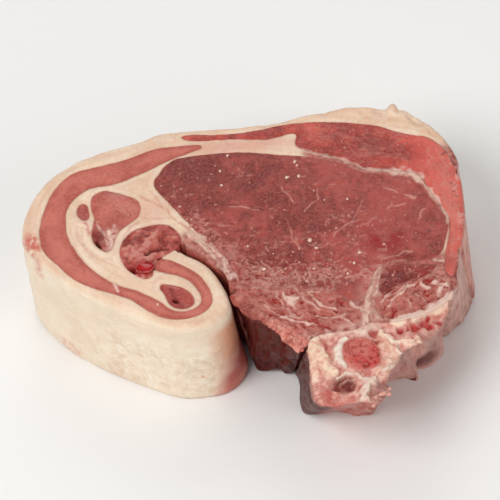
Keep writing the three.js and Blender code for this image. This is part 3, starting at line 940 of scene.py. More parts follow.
flap = lean_tissue("flap_muscle", FLAP_SPACING)
at = x, y = flap.at
stripes = cloud((flap.seam * 1.6, 0.2 * x, 0.2 * y), 1.0, 52)
flap.rise += 0.05 * ease(flap.seam, 0, 1) - 0.06 + 0.05 * stripes + 0.04 * cloud(at, 1.1, 54)
tone = 0.2 + 0.25 * cloud(at, 6, 51) + 0.18 * stripes + 0.14 * cloud(at, 1.6, 55)
flap.layers["tone"] = tone + 0.45 * ease(flap.seam, 0.1, 1.3)
pale_seam = strokes(at, [(FLAP_SEAM, 0.6, 0.9)], 0.15, 56)
specks = strokes(at, curls([(60, (-30, 12), 14, 20, 0)], 0.9, 0.26, np.random.default_rng(57)), 0.1, 58)
flap.layers["pale"] = 0.4 * specks
flap.layers["white"] = pale_seam
flap.layers["red"] = 0.2 * near_line(at, FLAP_SEAM, 1.2) * (1 - pale_seam)

rose = lean_finish("rose_flap_lean", (164, 66, 54), (200, 110, 95), (208, 128, 113), 0.9, 0.12, 0.44)
flap_piece = flap.piece("flap_muscle_meat", rose)
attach(flap_piece, "root")
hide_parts("flap_muscle")

# ----------------------------------------------------------------------------------------------
# The small muscles that the flap wraps round. An oval one with a silvery tail, a strip beside it,
# the coarse skirt with a cut vessel in it, and the dark core of the roll.

SMALL_SPACING = 0.22
TAIL_STRANDS = [
    ([(-28.9, 13.4), (-28.3, 11.3), (-28.6, 9.4)], 0.7, 1),
    ([(-27.2, 12), (-25.9, 13.1), (-24.7, 13.4)], 0.6, 0.8), ([(-28, 8.4), (-27.4, 7.2)], 0.6, 1),
    ([(-30.4, 14.4), (-29.6, 12.2), (-29.6, 10)], 0.4, 0.7), ([(-30.9, 16), (-30.4, 13.6)], 0.4, 0.5),
    ([(-27.6, 14.6), (-28.6, 12.4)], 0.5, 0.8),
]

oval = lean_tissue("oval_muscle", SMALL_SPACING)
at = x, y = oval.at
tail = ease(15.6 - y, 0, 3.2)
slit = near_spot(at, -31.4, 10, 0.55, 1.6, 15)
oval.rise += 0.25 * ease(oval.seam, 0, 1.6) * (1 - tail) - 0.5 * tail - 2.2 * slit
oval.layers["tone"] = 0.4 + 0.2 * cloud(at, 4, 61) + 0.15 * cloud(at, 1.5, 68) - 0.6 * tail
strands = strokes(at, TAIL_STRANDS, 0.35, 62, 0.5)
random = np.random.default_rng(61)
slanted = hairs([(-30, 24), (-24, 15)], [(-25, 24), (-22, 18)], 36, 0.35, 0.3, random)
slanted = strokes(at, slanted, 0.3, 65)
silver = ease(14.6 - y, 0, 2.4) * ease(x, -30.2, -28.4) * ease(cloud(at, 0.8, 77) + 0.3, -0.4, 0.5)
oval.layers["pale"] = most(0.55 * slanted, 0.5 * tail * ease(cloud(at, 0.9, 67), -0.2, 0.6))
oval.layers["white"] = most(strands, 0.75 * silver)
# The slit, and a patch of the sunken tail beside it, are painted dark: painted shade in the hollows.
oval.layers["dark"] = most(0.95 * slit, 0.5 * tail * near_spot(at, -31, 13, 1.4, 3.4))
oval.layers["red"] = 0.7 * strokes(at, [([(-32, 14), (-31.2, 12), (-30.6, 9)], 0.7, 1)], 0.2, 69)
oval.rise += 0.14 * strands + 0.06 * slanted

strip = lean_tissue("strip_muscle", SMALL_SPACING)
strip.layers["tone"] = 0.1 + 0.3 * cloud(strip.at, 2, 63)
strip.rise -= 0.1

skirt = lean_tissue("skirt_muscle", SMALL_SPACING)
at = x, y = skirt.at
fissure = near_line(at, [(-21.4, 5.4), (-20.2, 6.2), (-18.6, 6.5), (-17, 6.2)], 0.7)
socket = near_spot(at, -24.7, 1.7, 0.9, 0.7)
nodules = cloud(at, 1.5, 64) + 0.75 * cloud(at, 0.75, 74)
skirt.rise += 0.3 * ease(skirt.seam, 0, 1.5) + 0.36 * nodules
skirt.rise -= 1.1 * fissure + 0.8 * socket + 0.5 * near_line(at, [(-25, 1), (-19, 3.5)], 1.6)
skirt.layers["tone"] = 0.2 + 0.55 * nodules + 0.3 * ease(-x, 12, 16)
random = np.random.default_rng(71)
outer, inner = [(-26, 4), (-25, 10), (-20, 12.6), (-15, 11)], [(-23, 3), (-21, 7), (-17, 8)]
strands = strokes(at, hairs(outer, inner, 30, 0.14, 0.3, random), 0.25, 66)
skirt.layers["pale"] = most(0.6 * strands, 0.8 * ease(nodules, 0.3, 0.85))
# The fissure and the socket are painted dark: painted shade in these hollows.
skirt.layers["dark"] = most(0.8 * fissure, 0.75 * socket, 0.35 * ease(-nodules, 0.2, 0.9))
skirt.layers["red"] = 0.3 + 0.6 * near_line(at, [(-25, 1.8), (-22, 1.6), (-19.6, 2.6)], 3)
skirt.rise += 0.12 * strands

core = lean_tissue("roll_core_muscle", SMALL_SPACING)
at = core.at
hole = near_spot(at, -16.3, -7.6, 0.8, 0.5, -40)
core.rise -= 0.45 * ease(core.seam, 0, 1) + 1.8 * hole
bright = near_line(at, [(-18.4, -3.4), (-17.6, -7.4)], 1.2)
core.layers["tone"] = 0.3 + 0.3 * cloud(at, 2.5, 75) + 0.4 * bright
fold = near_line(at, [(-17, -4.4), (-16.2, -7.6), (-15, -9.4)], 0.9)
# The hole and the fold are painted dark: painted shade in the hole and in the crease beside it.
core.layers["dark"] = 0.85 * hole + 0.3 * fold
core.layers["red"] = 0.35 + 0.2 * fold

small_lean = lean_finish("small_muscle_lean", (146, 50, 42), (198, 107, 92), (212, 132, 117), 0.9, 0.18)
SMALL_PIECES = [
    ("oval_muscle_meat", "oval_muscle", oval),
    ("strip_muscle_meat", "strip_muscle", strip),
    ("skirt_muscle_meat", "skirt_muscle", skirt),
    ("roll_core_meat", "roll_core_muscle", core),
]
for name, node, tissue in SMALL_PIECES:
    small_piece = tissue.piece(name, small_lean)
    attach(small_piece, "root")
    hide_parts(node)

# ----------------------------------------------------------------------------------------------
# The small dusky muscle in the corner between the eye and the backbone, cut across its fibres,
# with pale threads of the tissue that holds it to its neighbours.

corner = lean_tissue("multifidus_muscle", SMALL_SPACING)
at = corner.at
corner.rise += 0.1 * ease(corner.seam, 0, 1) + 0.07 * cloud(at, 1, 71)
corner.layers["tone"] = 0.3 + 0.35 * cloud(at, 3, 72) + 0.2 * cloud(at, 1.2, 76)
smears = strokes(at, curls([(30, (31, -8), 8, 4, 0)], 1.1, 0.28, np.random.default_rng(73)), 0.12, 73)
specks = grains(at, [((31, -8), 10, 5, 0, 0.4)], 0.6, 176)
corner.layers["pale"] = most(0.5 * smears, 0.5 * specks, 0.6 * haze(at, *SEPTUM_HAZE))
corner.rise += 0.1 * smears + 0.06 * specks

corner_lean = lean_finish("corner_lean", (94, 19, 16), (144, 42, 37), (174, 76, 67))
corner_piece = corner.piece("corner_muscle_meat", corner_lean)
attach(corner_piece, "root")
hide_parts("multifidus_muscle")

# ----------------------------------------------------------------------------------------------
# The sinewy muscles along the backbone. Their bundles lie almost along the cut, so it shows a net
# of pale tissue with red meat in it, and white sheets of sinew that the knife dragged up.

SINEW_SPACING = 0.22
# Each sheet of sinew: its points, its width and its strength.
UNDER_SHEETS = [
    ([(6.2, -9.2), (6.9, -10.9), (8.5, -13)], 1.0, 1), ([(6.6, -10.8), (8.9, -10.9)], 0.8, 1),
    ([(7.4, -11), (7.6, -12.4)], 1.4, 1), ([(12.2, -9.8), (13.6, -9.2)], 0.9, 1),
    ([(3.9, -8.1), (5.9, -12.4), (7.8, -15.4)], 0.3, 0.7),
    ([(5.1, -15), (9.1, -17.2), (12, -18.8)], 0.5, 0.95),
    ([(11.3, -10.1), (14, -13.6), (16.8, -15.6)], 0.5, 0.95), ([(12.6, -9.6), (15.4, -9.1)], 0.8, 1),
    ([(15.8, -9.8), (18.5, -12.9), (21.4, -15.4)], 0.6, 0.9),
    ([(17.2, -17.4), (18.8, -19.2), (20.4, -20.6)], 0.5, 0.8),
    ([(1.8, -6.9), (4, -8.6), (5.6, -11.4)], 0.3, 0.6),
    ([(8.6, -8.6), (10.4, -11.4), (13.2, -14.8)], 0.3, 0.6),
    ([(2, -12.4), (5.8, -15), (9.6, -16)], 0.3, 0.6),
    ([(12.6, -16.2), (16, -17.4), (18.6, -17)], 0.3, 0.6),
]
SPINAL_SHEETS = [
    ([(33, -11.1), (29.3, -13.5), (27.4, -16)], 0.6, 1),
    ([(37.2, -10.4), (38.8, -11.8), (37.8, -14.4)], 1.3, 1), ([(40.3, -11.9), (41.4, -10.2)], 2.2, 1),
    ([(26, -14.5), (28.7, -12.6), (31.8, -11)], 0.4, 0.7), ([(34.6, -10.6), (36, -11.8)], 0.9, 0.9),
    ([(30.6, -14), (32.2, -16.4)], 0.3, 0.6), ([(33.6, -13.2), (35, -15.6)], 0.3, 0.6),
]
# The patches of fine strands, as for smears, and the way that the strands run, in degrees.
UNDER_ZONES = [(170, (4, -11.5), 11, 6, -30), (210, (14, -14.5), 12, 6, -18)]
UNDER_HEADING = -42
SPINAL_ZONES = [(260, (33, -14.5), 11, 6, 25)]
SPINAL_HEADING = 36


def sinew(tissue, sheets, zones, heading, seed):
    """Paints a sinewy muscle: strands that run the way it is cut, sheets of sinew, and red pits."""
    at = x, y = tissue.at
    random = np.random.default_rng(seed)
    sheets = strokes(at, sheets, 0.6, seed + 1, 0.55)
    fine = strokes(at, curls(zones, 4, 0.34, random, heading, 30), 0.3, seed + 4, 0.45)
    smears = 0.9 * strokes(at, *EDGE_CURLS)
    c, s = math.cos(math.radians(heading)), math.sin(math.radians(heading))
    along = 0.6 * (c * x + s * y) + 0.8 * cloud(at, 3, seed + 16)
    across = c * y - s * x + 0.8 * cloud(at, 3, seed + 17)
    pits = cloud((along, across), 0.9, seed + 11) + 0.4 * cloud(at, 2.6, seed + 10)
    pits = ease(pits, -0.05, 0.45) * (1 - most(fine, smears, sheets))
    torn_edge = haze(at, *BONE_HAZE)
    white = most(haze(at, *FOOT_HAZE), torn_edge, 0.8 * haze(at, *SEPTUM_HAZE))
    tissue.layers["tone"] = 0.5 + 0.3 * cloud(at, 3, seed + 12) + 0.3 * cloud(at, 0.8, seed + 13)
    net = 0.55 * ease(cloud((along, across), 0.6, seed + 15), -0.1, 0.5)
    tissue.layers["pale"] = most(0.85 * fine, smears, net, white) * np.where(tissue.wall, 0.3, 1)
    tissue.layers["white"] = most(sheets, 0.5 * torn_edge) * np.where(tissue.wall, 0, 0.95)
    tissue.layers["red"] = 0.9 * pits
    relief = 0.2 * sheets + 0.16 * fine + 0.1 * smears - 0.45 * pits
    tissue.rise += relief + 0.1 * cloud(at, 1, seed + 14)
    tissue.rise -= 0.06


under = lean_tissue("under_muscle", SINEW_SPACING, WALL_STEPS)
sinew(under, UNDER_SHEETS, UNDER_ZONES, UNDER_HEADING, 120)
at, depth, within = under.at, under.depth, under.within
fringe = near_line(at, [(2.6, -16.6), (5.8, -19.4), (8.2, -22), (9.4, -25)], 2.3)
fringe *= 1 - ease(depth, 1.2, 3)
under.layers["torn"] = fringe * ease(cloud(within, 2.2, 87), -0.9, 0.1)
under.layers["red"] += 0.4 * near_spot(at, -2.8, -8.4, 2, 1.4) + 0.4 * near_spot(at, 12, -19.6, 2, 0.8)
# The side below the fringe is painted dark: painted shade in the hollow under the sinewy muscle.
under.layers["dark"] = 0.9 * ease(depth, 1.4, 4) * under.wall
ragged = 0.6 * cloud(within, 2.4, 88) + 0.35 * cloud(within, 1.0, 89)
overhang = 1.1 * (1 - ease(depth, 0.6, 2.6))
under.bulge(ragged + overhang)
under.rise += 0.5 * fringe * cloud(at, 1.2, 85)

spinal = lean_tissue("spinal_muscle", SINEW_SPACING, WALL_STEPS)
sinew(spinal, SPINAL_SHEETS, SPINAL_ZONES, SPINAL_HEADING, 160)
spinal.layers["torn"] = np.zeros_like(spinal.depth)
white = most(spinal.layers["white"], strokes(spinal.at, *UPPER_PLATE))
spinal.layers["white"] = np.where(spinal.wall, 0, white)

sinewy = lean_finish("sinewy_lean", (112, 32, 27), (170, 76, 67), (194, 118, 105), 1.3, 0.35)
sinewy.coat("torn", sinewy.shades(sinewy.noise(0.9, 4), 0.35, 0.65, (193, 105, 93), (225, 155, 139)))
sinewy.set(IOR=1.25)
SINEWY_PIECES = [
    ("under_muscle_meat", "under_muscle", under),
    ("spinal_muscle_meat", "spinal_muscle", spinal),
]
for name, node, tissue in SINEWY_PIECES:
    sinewy_piece = tissue.piece(name, sinewy)
    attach(sinewy_piece, "root")
    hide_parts(node)

# ----------------------------------------------------------------------------------------------
# The half backbone: sawn vertebra, gristle and the scraps of tissue on it. Cream ridges of bone
# stand round the red spongy core, and below it the canal of the spinal cord is a dark hollow.

BONE_SPACING = 0.2
RIDGE = [(10.4, -21.4), (11.6, -25.3), (12.9, -28.7), (14.2, -31.2)]
RIDGE_EDGE = [(9.2, -22.5), (10.4, -27.5), (10.4, -32.2)]
SHELL = [(16.6, -23.4), (15.7, -26), (15.9, -28.4), (17, -31.4)]
SHELL_CENTRE = (21.6, -27.6)
SHELL_RADIUS = 5.7
SHELL_HALF_WIDTH = 1.4
SHELL_TURN = 0.15  # the way its middle faces, in radians up from the left
SHELL_REACH = 0.8  # how far round it goes to each side, in radians
SHELL_LINE = [(13.2, -23.2), (13.9, -26), (14.4, -28.8), (15.8, -31.6)]
OUTER_PLATE = [(24.9, -22.9), (26.2, -24.6), (27.9, -26), (29.9, -25.8), (32, -26.2)]
PLATE_END = [(32.1, -25.2), (32.2, -27.8)]
CREST = [(26.2, -24), (27.6, -26.4), (28.4, -28.8), (28.2, -30.6), (26.6, -32), (24.4, -33)]
WEDGE = [(25.4, -25.4), (27, -28), (26.4, -30.6), (24.8, -33)]
ARC = [(15, -33.3), (16.7, -32.2), (18.8, -32.6), (20.2, -34), (20.4, -35.4)]
# A thin raised line just inside the arc, painted white as a highlight on the canal's rim.
INNER_ARC_GLINT = [(15.2, -34.5), (17.2, -33.4), (18.9, -34)]
PRONG = [(21.8, -34.8), (20.4, -37.4), (19.4, -40.4)]
# Each spot of blood, and each bright crumb further on: its place and its size.
BLOOD_SPOTS = [
    (28.8, -22.3, 0.9), (30.4, -22.0, 0.6), (32.2, -22, 1.0), (34.3, -21.3, 1.5), (35.4, -22.1, 1.0),
    (35.2, -20.4, 0.8), (23.8, -25.2, 1.3), (23.6, -22.5, 1.0), (38.4, -20.6, 0.8), (36.8, -20.9, 0.7),
]
PALE_TOP = [(12.6, -21.6), (16, -21), (20, -21.6), (22.4, -22.2)]
MARROW_EDGE = [(17.6, -25), (21, -25.4), (24, -28), (23.4, -30.6), (19.6, -30.6)]
OUTER_EDGE = [(12.6, -36), (12.4, -39), (16.4, -40.4), (20, -40.4)]
# How far the gristle's knob and shelf stand out from the bone's side, and its hollow goes in.
KNOB_OUT = 5.6
SHELF_OUT = 3.6
HOLLOW_IN = 1.1

bone = Tissue("backbone", BONE_SPACING, WALL_STEPS)
at = x, y = bone.at
depth, within = bone.depth, bone.within
# Everything on the sawn face is ragged, so each shape is looked up at a place that is pushed about.
pushed = [
    x + 0.45 * cloud(at, 1.6, 181) + 0.2 * cloud(at, 0.6, 182),
    y + 0.45 * cloud(at, 1.6, 183) + 0.2 * cloud(at, 0.6, 184),
]
patchy = 0.5 + 0.5 * cloud(at, 0.9, 185)
top_only = np.where(bone.wall, ease(1.5 - depth, 0, 1.5), np.where(bone.on_top, 1.0, 0.0))
ridge = near_line(pushed, RIDGE, 2.6)
ridge_edge = near_line(pushed, RIDGE_EDGE, 1.5)
# The shell round the marrow is a crescent, widest in the middle.
around = np.arctan2(y - SHELL_CENTRE[1], SHELL_CENTRE[0] - x) - SHELL_TURN
half_width = SHELL_HALF_WIDTH * np.sqrt(np.clip(1 - (around / SHELL_REACH) ** 2, 0, 1))
off_centre = np.hypot(x - SHELL_CENTRE[0], y - SHELL_CENTRE[1])
shell = abs(off_centre - SHELL_RADIUS + 0.15 * cloud(at, 1.4, 131))
shell = (1 - ease(shell, 0.5 * half_width, half_width + 0.12)) * ease(half_width, 0.1, 0.5)
shell_foot = near_line(at, SHELL, 2.2)
outer_plate = strokes(at, [(OUTER_PLATE, 2.4, 1)], 0.3, 134)
outer_plate = most(outer_plate, strokes(at, [(PLATE_END, 1.4, 1)], 0.15, 134))
upper_plate = strokes(at, *UPPER_PLATE)
wedge = near_line(pushed, WEDGE, 2.8)
crest = strokes(at, [(CREST, 0.9, 1)], 0.3, 140)
# The arcs round the canal; the inner one is a painted highlight.
arc = strokes(at, [(ARC, 0.7, 1), (INNER_ARC_GLINT, 0.25, 0.6)], 0.12, 143)
prong = strokes(at, [(PRONG, 2.6, 1)], 0.4, 146)
canal = near_spot(pushed, 16, -34.7, 2.8, 2, -8)
spots = most(*[near_spot(pushed, *spot) for spot in BLOOD_SPOTS])
crack = strokes(at, [([(25.2, -23.9), (26.6, -25.9), (28.3, -28)], 0.3, 0.5)], 0.15, 149, 0.6)
stripe = strokes(at, [(SHELL_LINE, 1.1, 1), ([(11.6, -21.8), (14, -24.2)], 0.6, 0.8)], 0.5, 152)
# Pale sinew along the bone's top edge, and a white spot at the septum's foot that is a painted highlight.
pale_top = most(near_line(pushed, PALE_TOP, 1.9), 1.3 * near_spot(pushed, 21.4, -22, 2, 1))
scraps = near_spot(pushed, 23.6, -37.6, 3.4, 3.2)
by_marrow = near_line(pushed, MARROW_EDGE, 1.6)
outer_red = near_line(pushed, OUTER_EDGE, 2.4)
bone.rise += 0.8 * ridge + 0.7 * outer_plate + 0.4 * shell_foot + 0.45 * shell
bone.rise += 0.7 * wedge + 0.5 * crest + 0.5 * arc + 1.2 * prong + 0.25 * pale_top + 0.3 * ridge_edge
bone.rise -= 1.1 * canal * (1 - arc) + 0.6 * spots + 0.6 * stripe + 0.5
bone.rise += 0.2 * (1 - ease(bone.seam, 0, 1.6)) + 0.9 * scraps * cloud(at, 1.3, 101)
bone.rise += (0.25 * cloud(at, 1.6, 102) + 0.16 * cloud(at, 0.7, 103)) * ease(bone.seam, 0, 1)
rough = 0.45 * cloud(within, 3.2, 104) + 0.22 * cloud(within, 1.1, 105)
tip = near_spot(at, 23, -38.6, 4.5, 4)
rough += 1.2 * tip * cloud(within, 1.7, 107)
# The gristle on the side below the plates: a smooth knob that stands out, with a hollow beside it.
gristle = bone.wall * ease(x, 25, 27.4) * ease(39 - x, 0, 4)
knob = near_spot((x, 0), 28.6, 0, 2.6) * ease(depth, 0.6, 10) * ease(21 - depth, 0, 9) * gristle
shelf = near_spot((x, 0), 34.2, 0, 4) * ease(depth, 0.6, 11) * ease(22 - depth, 0, 9) * gristle
hollow = near_spot((x, depth), 32.6, 9.2, 1.6, 4.2, 33) * gristle
rough = rough * (1 - 0.8 * most(hollow, knob, shelf))
bone.bulge(rough + KNOB_OUT * knob + SHELF_OUT * shelf - HOLLOW_IN * hollow)
cream = most(ridge, ridge_edge, upper_plate, outer_plate, 0.6 * wedge)
bone.layers["cream"] = np.clip(cream * (0.78 + 0.4 * patchy), 0, 1) * top_only
white = most(shell, 0.8 * arc, 0.8 * crest, 0.8 * prong, 0.45 * pale_top, 0.6 * haze(at, *BONE_HAZE))
bone.layers["white"] = white * top_only
bone.layers["spot"] = most(spots * (0.7 + 0.4 * patchy), 0.6 * stripe * patchy) * top_only
bone.layers["spot"] += near_spot((x, depth), 34, 14, 0.9, 1.8) * gristle
red = 0.45 * ease(cloud(within, 1.6, 106), 0, 0.7) * (1 - most(cream, shell))
bone.layers["red"] = most(red, 0.8 * outer_red, 0.55 * by_marrow * (1 - shell))
bone.layers["crack"] = crack * top_only
# The bone's side below the sinewy muscle is painted dark: painted shade in the hollow there.
bone.layers["recess_shade"] = 0.9 * (ease(depth, 0.8, 5) * ease(16 - x, 0, 4) * bone.wall)
bone.layers["canal"] = canal * (1 - arc) * (0.8 + 0.2 * patchy) * top_only
# The gristle's hollow is painted dark as well as pushed in: painted shade.
bone.layers["dark"] = np.clip(1.2 * hollow, 0, 0.9)
behind_plate = ease(x, 31.5, 34) * ease(-y, 22.4, 24.4) * top_only
smooth_side = gristle * (1 - ease(depth, 16, 24)) * ease(37 - x, 0, 2)
grey = most(smooth_side, 0.7 * behind_plate, 0.8 * scraps * top_only)
bone.layers["grey"] = np.clip(grey * (1 - cream), 0, 1)

sawn = Finish("sawn_bone")
broad = sawn.noise(3.2, 4)
fine = sawn.noise(0.5, 4)
grain = sawn.noise(1.2, 5)
sawn.set(Base_Color=sawn.shades(grain, 0.32, 0.68, (194, 112, 100), (230, 178, 162)))
sawn.coat(sawn.range(fine, 0.45, 0.7, 0, 0.5), (234, 196, 178))
sawn.coat(sawn.range(fine, 0.45, 0.28, 0, 0.45), (176, 84, 74))
sawn.coat("wall", sheath(sawn, (156, 90, 82), (204, 148, 134)))
sawn.coat(sawn.times("red", 0.8), (184, 72, 62))
sawn.coat("grey", sawn.shades(broad, 0.3, 0.7, (142, 96, 88), (188, 142, 130)))
sawn.coat("cream", sawn.shades(grain, 0.3, 0.65, (232, 180, 156), (248, 222, 196)))
sawn.coat("white", sawn.shades(grain, 0.3, 0.7, (226, 192, 178), (244, 230, 212)))
sawn.coat("spot", sawn.shades(fine, 0.35, 0.65, (194, 48, 44), (134, 30, 30)))
sawn.coat("crack", (190, 118, 98))
sawn.coat("canal", sawn.shades(grain, 0.35, 0.65, (100, 24, 22), (132, 46, 41)))
# Painted shade in the gristle's hollow.
sawn.coat("dark", sawn.shades(broad, 0.35, 0.65, (84, 32, 30), (118, 62, 56)))
# Painted shade on the bone's side below the sinewy muscle.
sawn.coat("recess_shade", (72, 24, 20))
sawn.relief((broad, 0.2), (fine, 0.2), (grain, 0.2))
sawn.set(Roughness=0.42, Subsurface_Weight=0.15, Subsurface_Scale=0.001)
sawn.set(IOR=1.3, Subsurface_Radius=(1.0, 0.45, 0.3))

bone_piece = bone.piece("sawn_backbone", sawn)
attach(bone_piece, "root")
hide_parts("backbone")

# ----------------------------------------------------------------------------------------------
# The marrow: the vertebra's spongy core, a net of thin bone with wet red marrow in its pores. It
# is brightest at its lower right and pinker towards the shell.

MARROW_SPACING = 0.2
BRIGHT_EDGE = [(19.4, -28.8), (21.6, -30.2), (24, -30.6), (24.6, -28.6), (23.8, -26.4)]

marrow = Tissue("marrow", MARROW_SPACING)
at = marrow.at
pores = ease(cloud(at, 0.8, 111) + 0.4 * cloud(at, 1.9, 112), -0.15, 0.5)
blood = near_line(at, BRIGHT_EDGE, 2.8)
marrow.rise += 0.15 - 0.3 * pores * ease(marrow.seam, 0, 0.5)
marrow.layers["pore"] = pores
marrow.layers["blood"] = np.clip(0.12 + blood + 0.3 * cloud(at, 1.5, 113), 0, 1)

spongy = Finish("spongy_marrow")
fine = spongy.noise(0.5, 3)
net = spongy.cells(0.9, spongy.warped(spongy.place, 1.5, 0.8))
walls = spongy.mix("blood", (202, 110, 96), (190, 46, 38))
wet = spongy.mix("blood", (172, 70, 62), (146, 14, 18))
spongy.set(Base_Color=spongy.mix("pore", walls, wet))
spongy.coat(spongy.range(net, 0.12, 0.0, 0, 0.5), (210, 122, 107))
spongy.coat(spongy.range(fine, 0.5, 0.75, 0, 0.5), (150, 30, 32))
spongy.coat(spongy.range("seam", 0.0, 0.5, 0.6, 0), (214, 140, 122))
spongy.relief((net, 0.25), (fine, 0.12))
spongy.set(Roughness=0.3)

marrow_piece = marrow.piece("spongy_marrow_core", spongy)
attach(marrow_piece, "root")
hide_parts("marrow")

# ----------------------------------------------------------------------------------------------
# The crumbs: damp specks of bone, fat and meat that the saw carries over the cut. They lie
# thickest beside the backbone and along the eye's edge, with a few larger bright ones.

CRUMB_ZONES = [
    # how many, the middle, half width, half depth and turn of the patch that they lie in
    (150, (8, -3.6), 16, 4.4, -5),
    (60, (-8.8, 9.6), 3, 13, 28),
    (60, (15, 5), 19, 9, 0),
    (34, (4, 21), 18, 8, -6),
    (26, (28, 30), 14, 3, -20),
    (40, (44.6, 14), 1.0, 15, 4),
    (30, (30, -10), 9, 5, 0),
]
BRIGHT_CRUMBS = [
    (13, 4, 1.3), (-2, 30.3, 0.9), (12, 26, 1.0), (10, 22, 1.0), (12.5, 22, 0.9), (22, 14, 0.7),
    (-4, 22, 0.8), (-4, 26, 0.8), (-20, -8.5, 0.8), (14.2, 1.6, 0.9), (12.4, 25, 0.7), (23, -1, 0.9),
    (21.6, -3.6, 0.9), (20, -6.2, 0.8),
]
CRUMBS_UP_TO = 0.4  # the highest above the cut's plane that a lump rests


class Bits:
    """Crumbs and scraps that lie on the lean or bony part of the upper cut, a mesh for each kind."""

    cut = np.vstack([points for node, points in Tissue.cuts.items() if node != "fat"])
    tree = KDTree(len(cut))
    for i, (px, py) in enumerate(cut[:, :2]):
        tree.insert((px, py, 0), i)
    tree.balance()

    def __init__(self, seed):
        self.random = np.random.default_rng(seed)
        self.points, self.faces, self.shades = [], [], []
        ball = bmesh.new()
        bmesh.ops.create_icosphere(ball, subdivisions=2, radius=1)
        self.ball = np.array([v.co for v in ball.verts])
        self.ball_faces = np.array([[v.index for v in face.verts] for face in ball.faces])
        ball.free()

    def crumb(self, x, y, long, wide, tall, turn=None, lift=0.0, shade=None, reach=FAR):
        """Adds a lump of this size if the cut is within reach; turn is its heading, in radians."""
        random = self.random
        turn = random.uniform(0, 2 * math.pi) if turn is None else turn
        c, s = math.cos(turn), math.sin(turn)
        u, v, w = (self.ball * random.uniform(0.62, 1.15, (len(self.ball), 1))).T
        u, v, w = u * long / 2, v * wide / 2 + 0.25 * wide * random.uniform(-1, 1) * u * u, w * tall
        _, near, far = self.tree.find((x, y, 0))
        if far > reach:
            return
        height = min(self.cut[near, 2], THICKNESS + CRUMBS_UP_TO) + lift
        z = np.minimum(height + w, THICKNESS + STANDS_OUT)
        self.faces.append(self.ball_faces + len(self.ball) * len(self.points))
        self.points.append(np.stack([x + c * u - s * v, y + s * u + c * v, z], 1))
        self.shades.append(np.full(len(self.ball), random.random() if shade is None else shade))

    def piece(self, name, finish, slot):
        """The lumps as one Blender object, which rides on the chop."""
        mesh = bpy.data.meshes.new(name)
        mesh.from_pydata((np.vstack(self.points) * MM).tolist(), [], np.vstack(self.faces).tolist())
        mesh.shade_smooth()
        shade = mesh.attributes.new("shade", "FLOAT", "POINT")
        shade.data.foreach_set("value", np.concatenate(self.shades).astype(np.float32))
        mesh.materials.append(finish.material)
        piece = bpy.data.objects.new(name, mesh)
        bpy.context.scene.collection.objects.link(piece)
        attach(piece, "root")


crumbs = Bits(61)
random = crumbs.random
for cx, cy in strewn(CRUMB_ZONES, random):
    size = min(0.2 + random.exponential(0.14), 0.9)
    crumbs.crumb(cx, cy, size * random.uniform(1, 2), size, size * 0.3, reach=0.2)
for cx, cy, size in BRIGHT_CRUMBS:
    crumbs.crumb(cx, cy, size, size * 0.75, size * 0.3, shade=1.0)

crumb = Finish("saw_crumb")
crumb.set(Base_Color=crumb.shades("shade", 0, 0.9, (168, 84, 74), (212, 152, 136)), Roughness=0.34)
crumb.coat(crumb.range("shade", 0.9, 1, 0, 0.7), (242, 212, 192))
crumb.relief((crumb.noise(0.4, 3), 0.05))
crumbs.piece("saw_crumbs", crumb, "bone")

# ----------------------------------------------------------------------------------------------
# The cut vessel in the flap's skirt muscle: a short tube with a thick pinkish wall and bright red,
# wet blood standing in it.

VESSEL_AT = (-21.9, 1.8)
VESSEL_RADII = (1.8, 0.8 * 1.8)
VESSEL_SIDES = 24

vessel = Bits(67)
for k in range(VESSEL_SIDES):
    angle = 2 * math.pi * k / VESSEL_SIDES
    cx = VESSEL_AT[0] + VESSEL_RADII[0] * math.cos(angle)
    cy = VESSEL_AT[1] + VESSEL_RADII[1] * math.sin(angle)
    vessel.crumb(cx, cy, 0.75, 0.5, 0.3, turn=angle + math.pi / 2, lift=0.3)
wall_finish = Finish("vessel_wall")
wall_finish.set(Base_Color=wall_finish.mix("shade", (160, 52, 48), (196, 96, 86)), Roughness=0.28)
vessel.piece("vessel_wall", wall_finish, "small_muscle")

blood = Bits(71)
blood.crumb(*VESSEL_AT, 4.2, 3.4, 0.4, turn=0.0, lift=0.12)
wet_red = Finish("wet_blood")
wet_red.set(Base_Color=(168, 8, 14), Roughness=0.2)
blood.piece("vessel_blood", wet_red, "small_muscle")

# ----------------------------------------------------------------------------------------------
# The torn scraps: lumps of salmon-pink meat and fat that the saw drags over the edge of the sinewy
# muscle above the hollow, and ragged bits at the backbone's lower end.

TORN_EDGE = [(2.4, -16), (4.4, -18), (6, -20), (7.4, -22), (8.6, -24)]
BONE_TIP = [(20.4, -40.2), (22.6, -39.8), (24.6, -38.4), (25.2, -36)]
# Each row of scraps: its line, how many, their size and how pale they are at the least.
SCRAP_ROWS = [(TORN_EDGE, 46, 1.3, 0.0), (BONE_TIP, 16, 1.1, 0.5)]

scraps = Bits(73)
for line, count, size, pale in SCRAP_ROWS:
    for t in scraps.random.random(count):
        cx, cy = along_line(line, t) + scraps.random.normal(0, 0.35, 2)
        long = size * scraps.random.uniform(0.5, 1.5)
        lift = scraps.random.uniform(-0.7, 0.05)
        shade = scraps.random.uniform(pale, 0.5 + pale)
        scraps.crumb(cx, cy, long, long * 0.6, 0.35 * size, lift=lift, shade=shade)

torn = Finish("torn_salmon_meat")
torn.set(Base_Color=torn.mix("shade", (196, 102, 90), (232, 190, 172)), Roughness=0.38)
torn.coat(torn.range(torn.noise(0.7, 3), 0.4, 0.65, 0, 0.6), (214, 128, 112))
torn.relief((torn.noise(0.5, 4), 0.12))
scraps.piece("torn_scraps", torn, "sinewy_muscle")

# ----------------------------------------------------------------------------------------------
# The floor and the light: a pale table under soft studio lights, with the main one high on the
# left so that the flap's fat is the brightest part.

FLOOR_SIZE = 3.0  # in metres, as are all lengths from here on
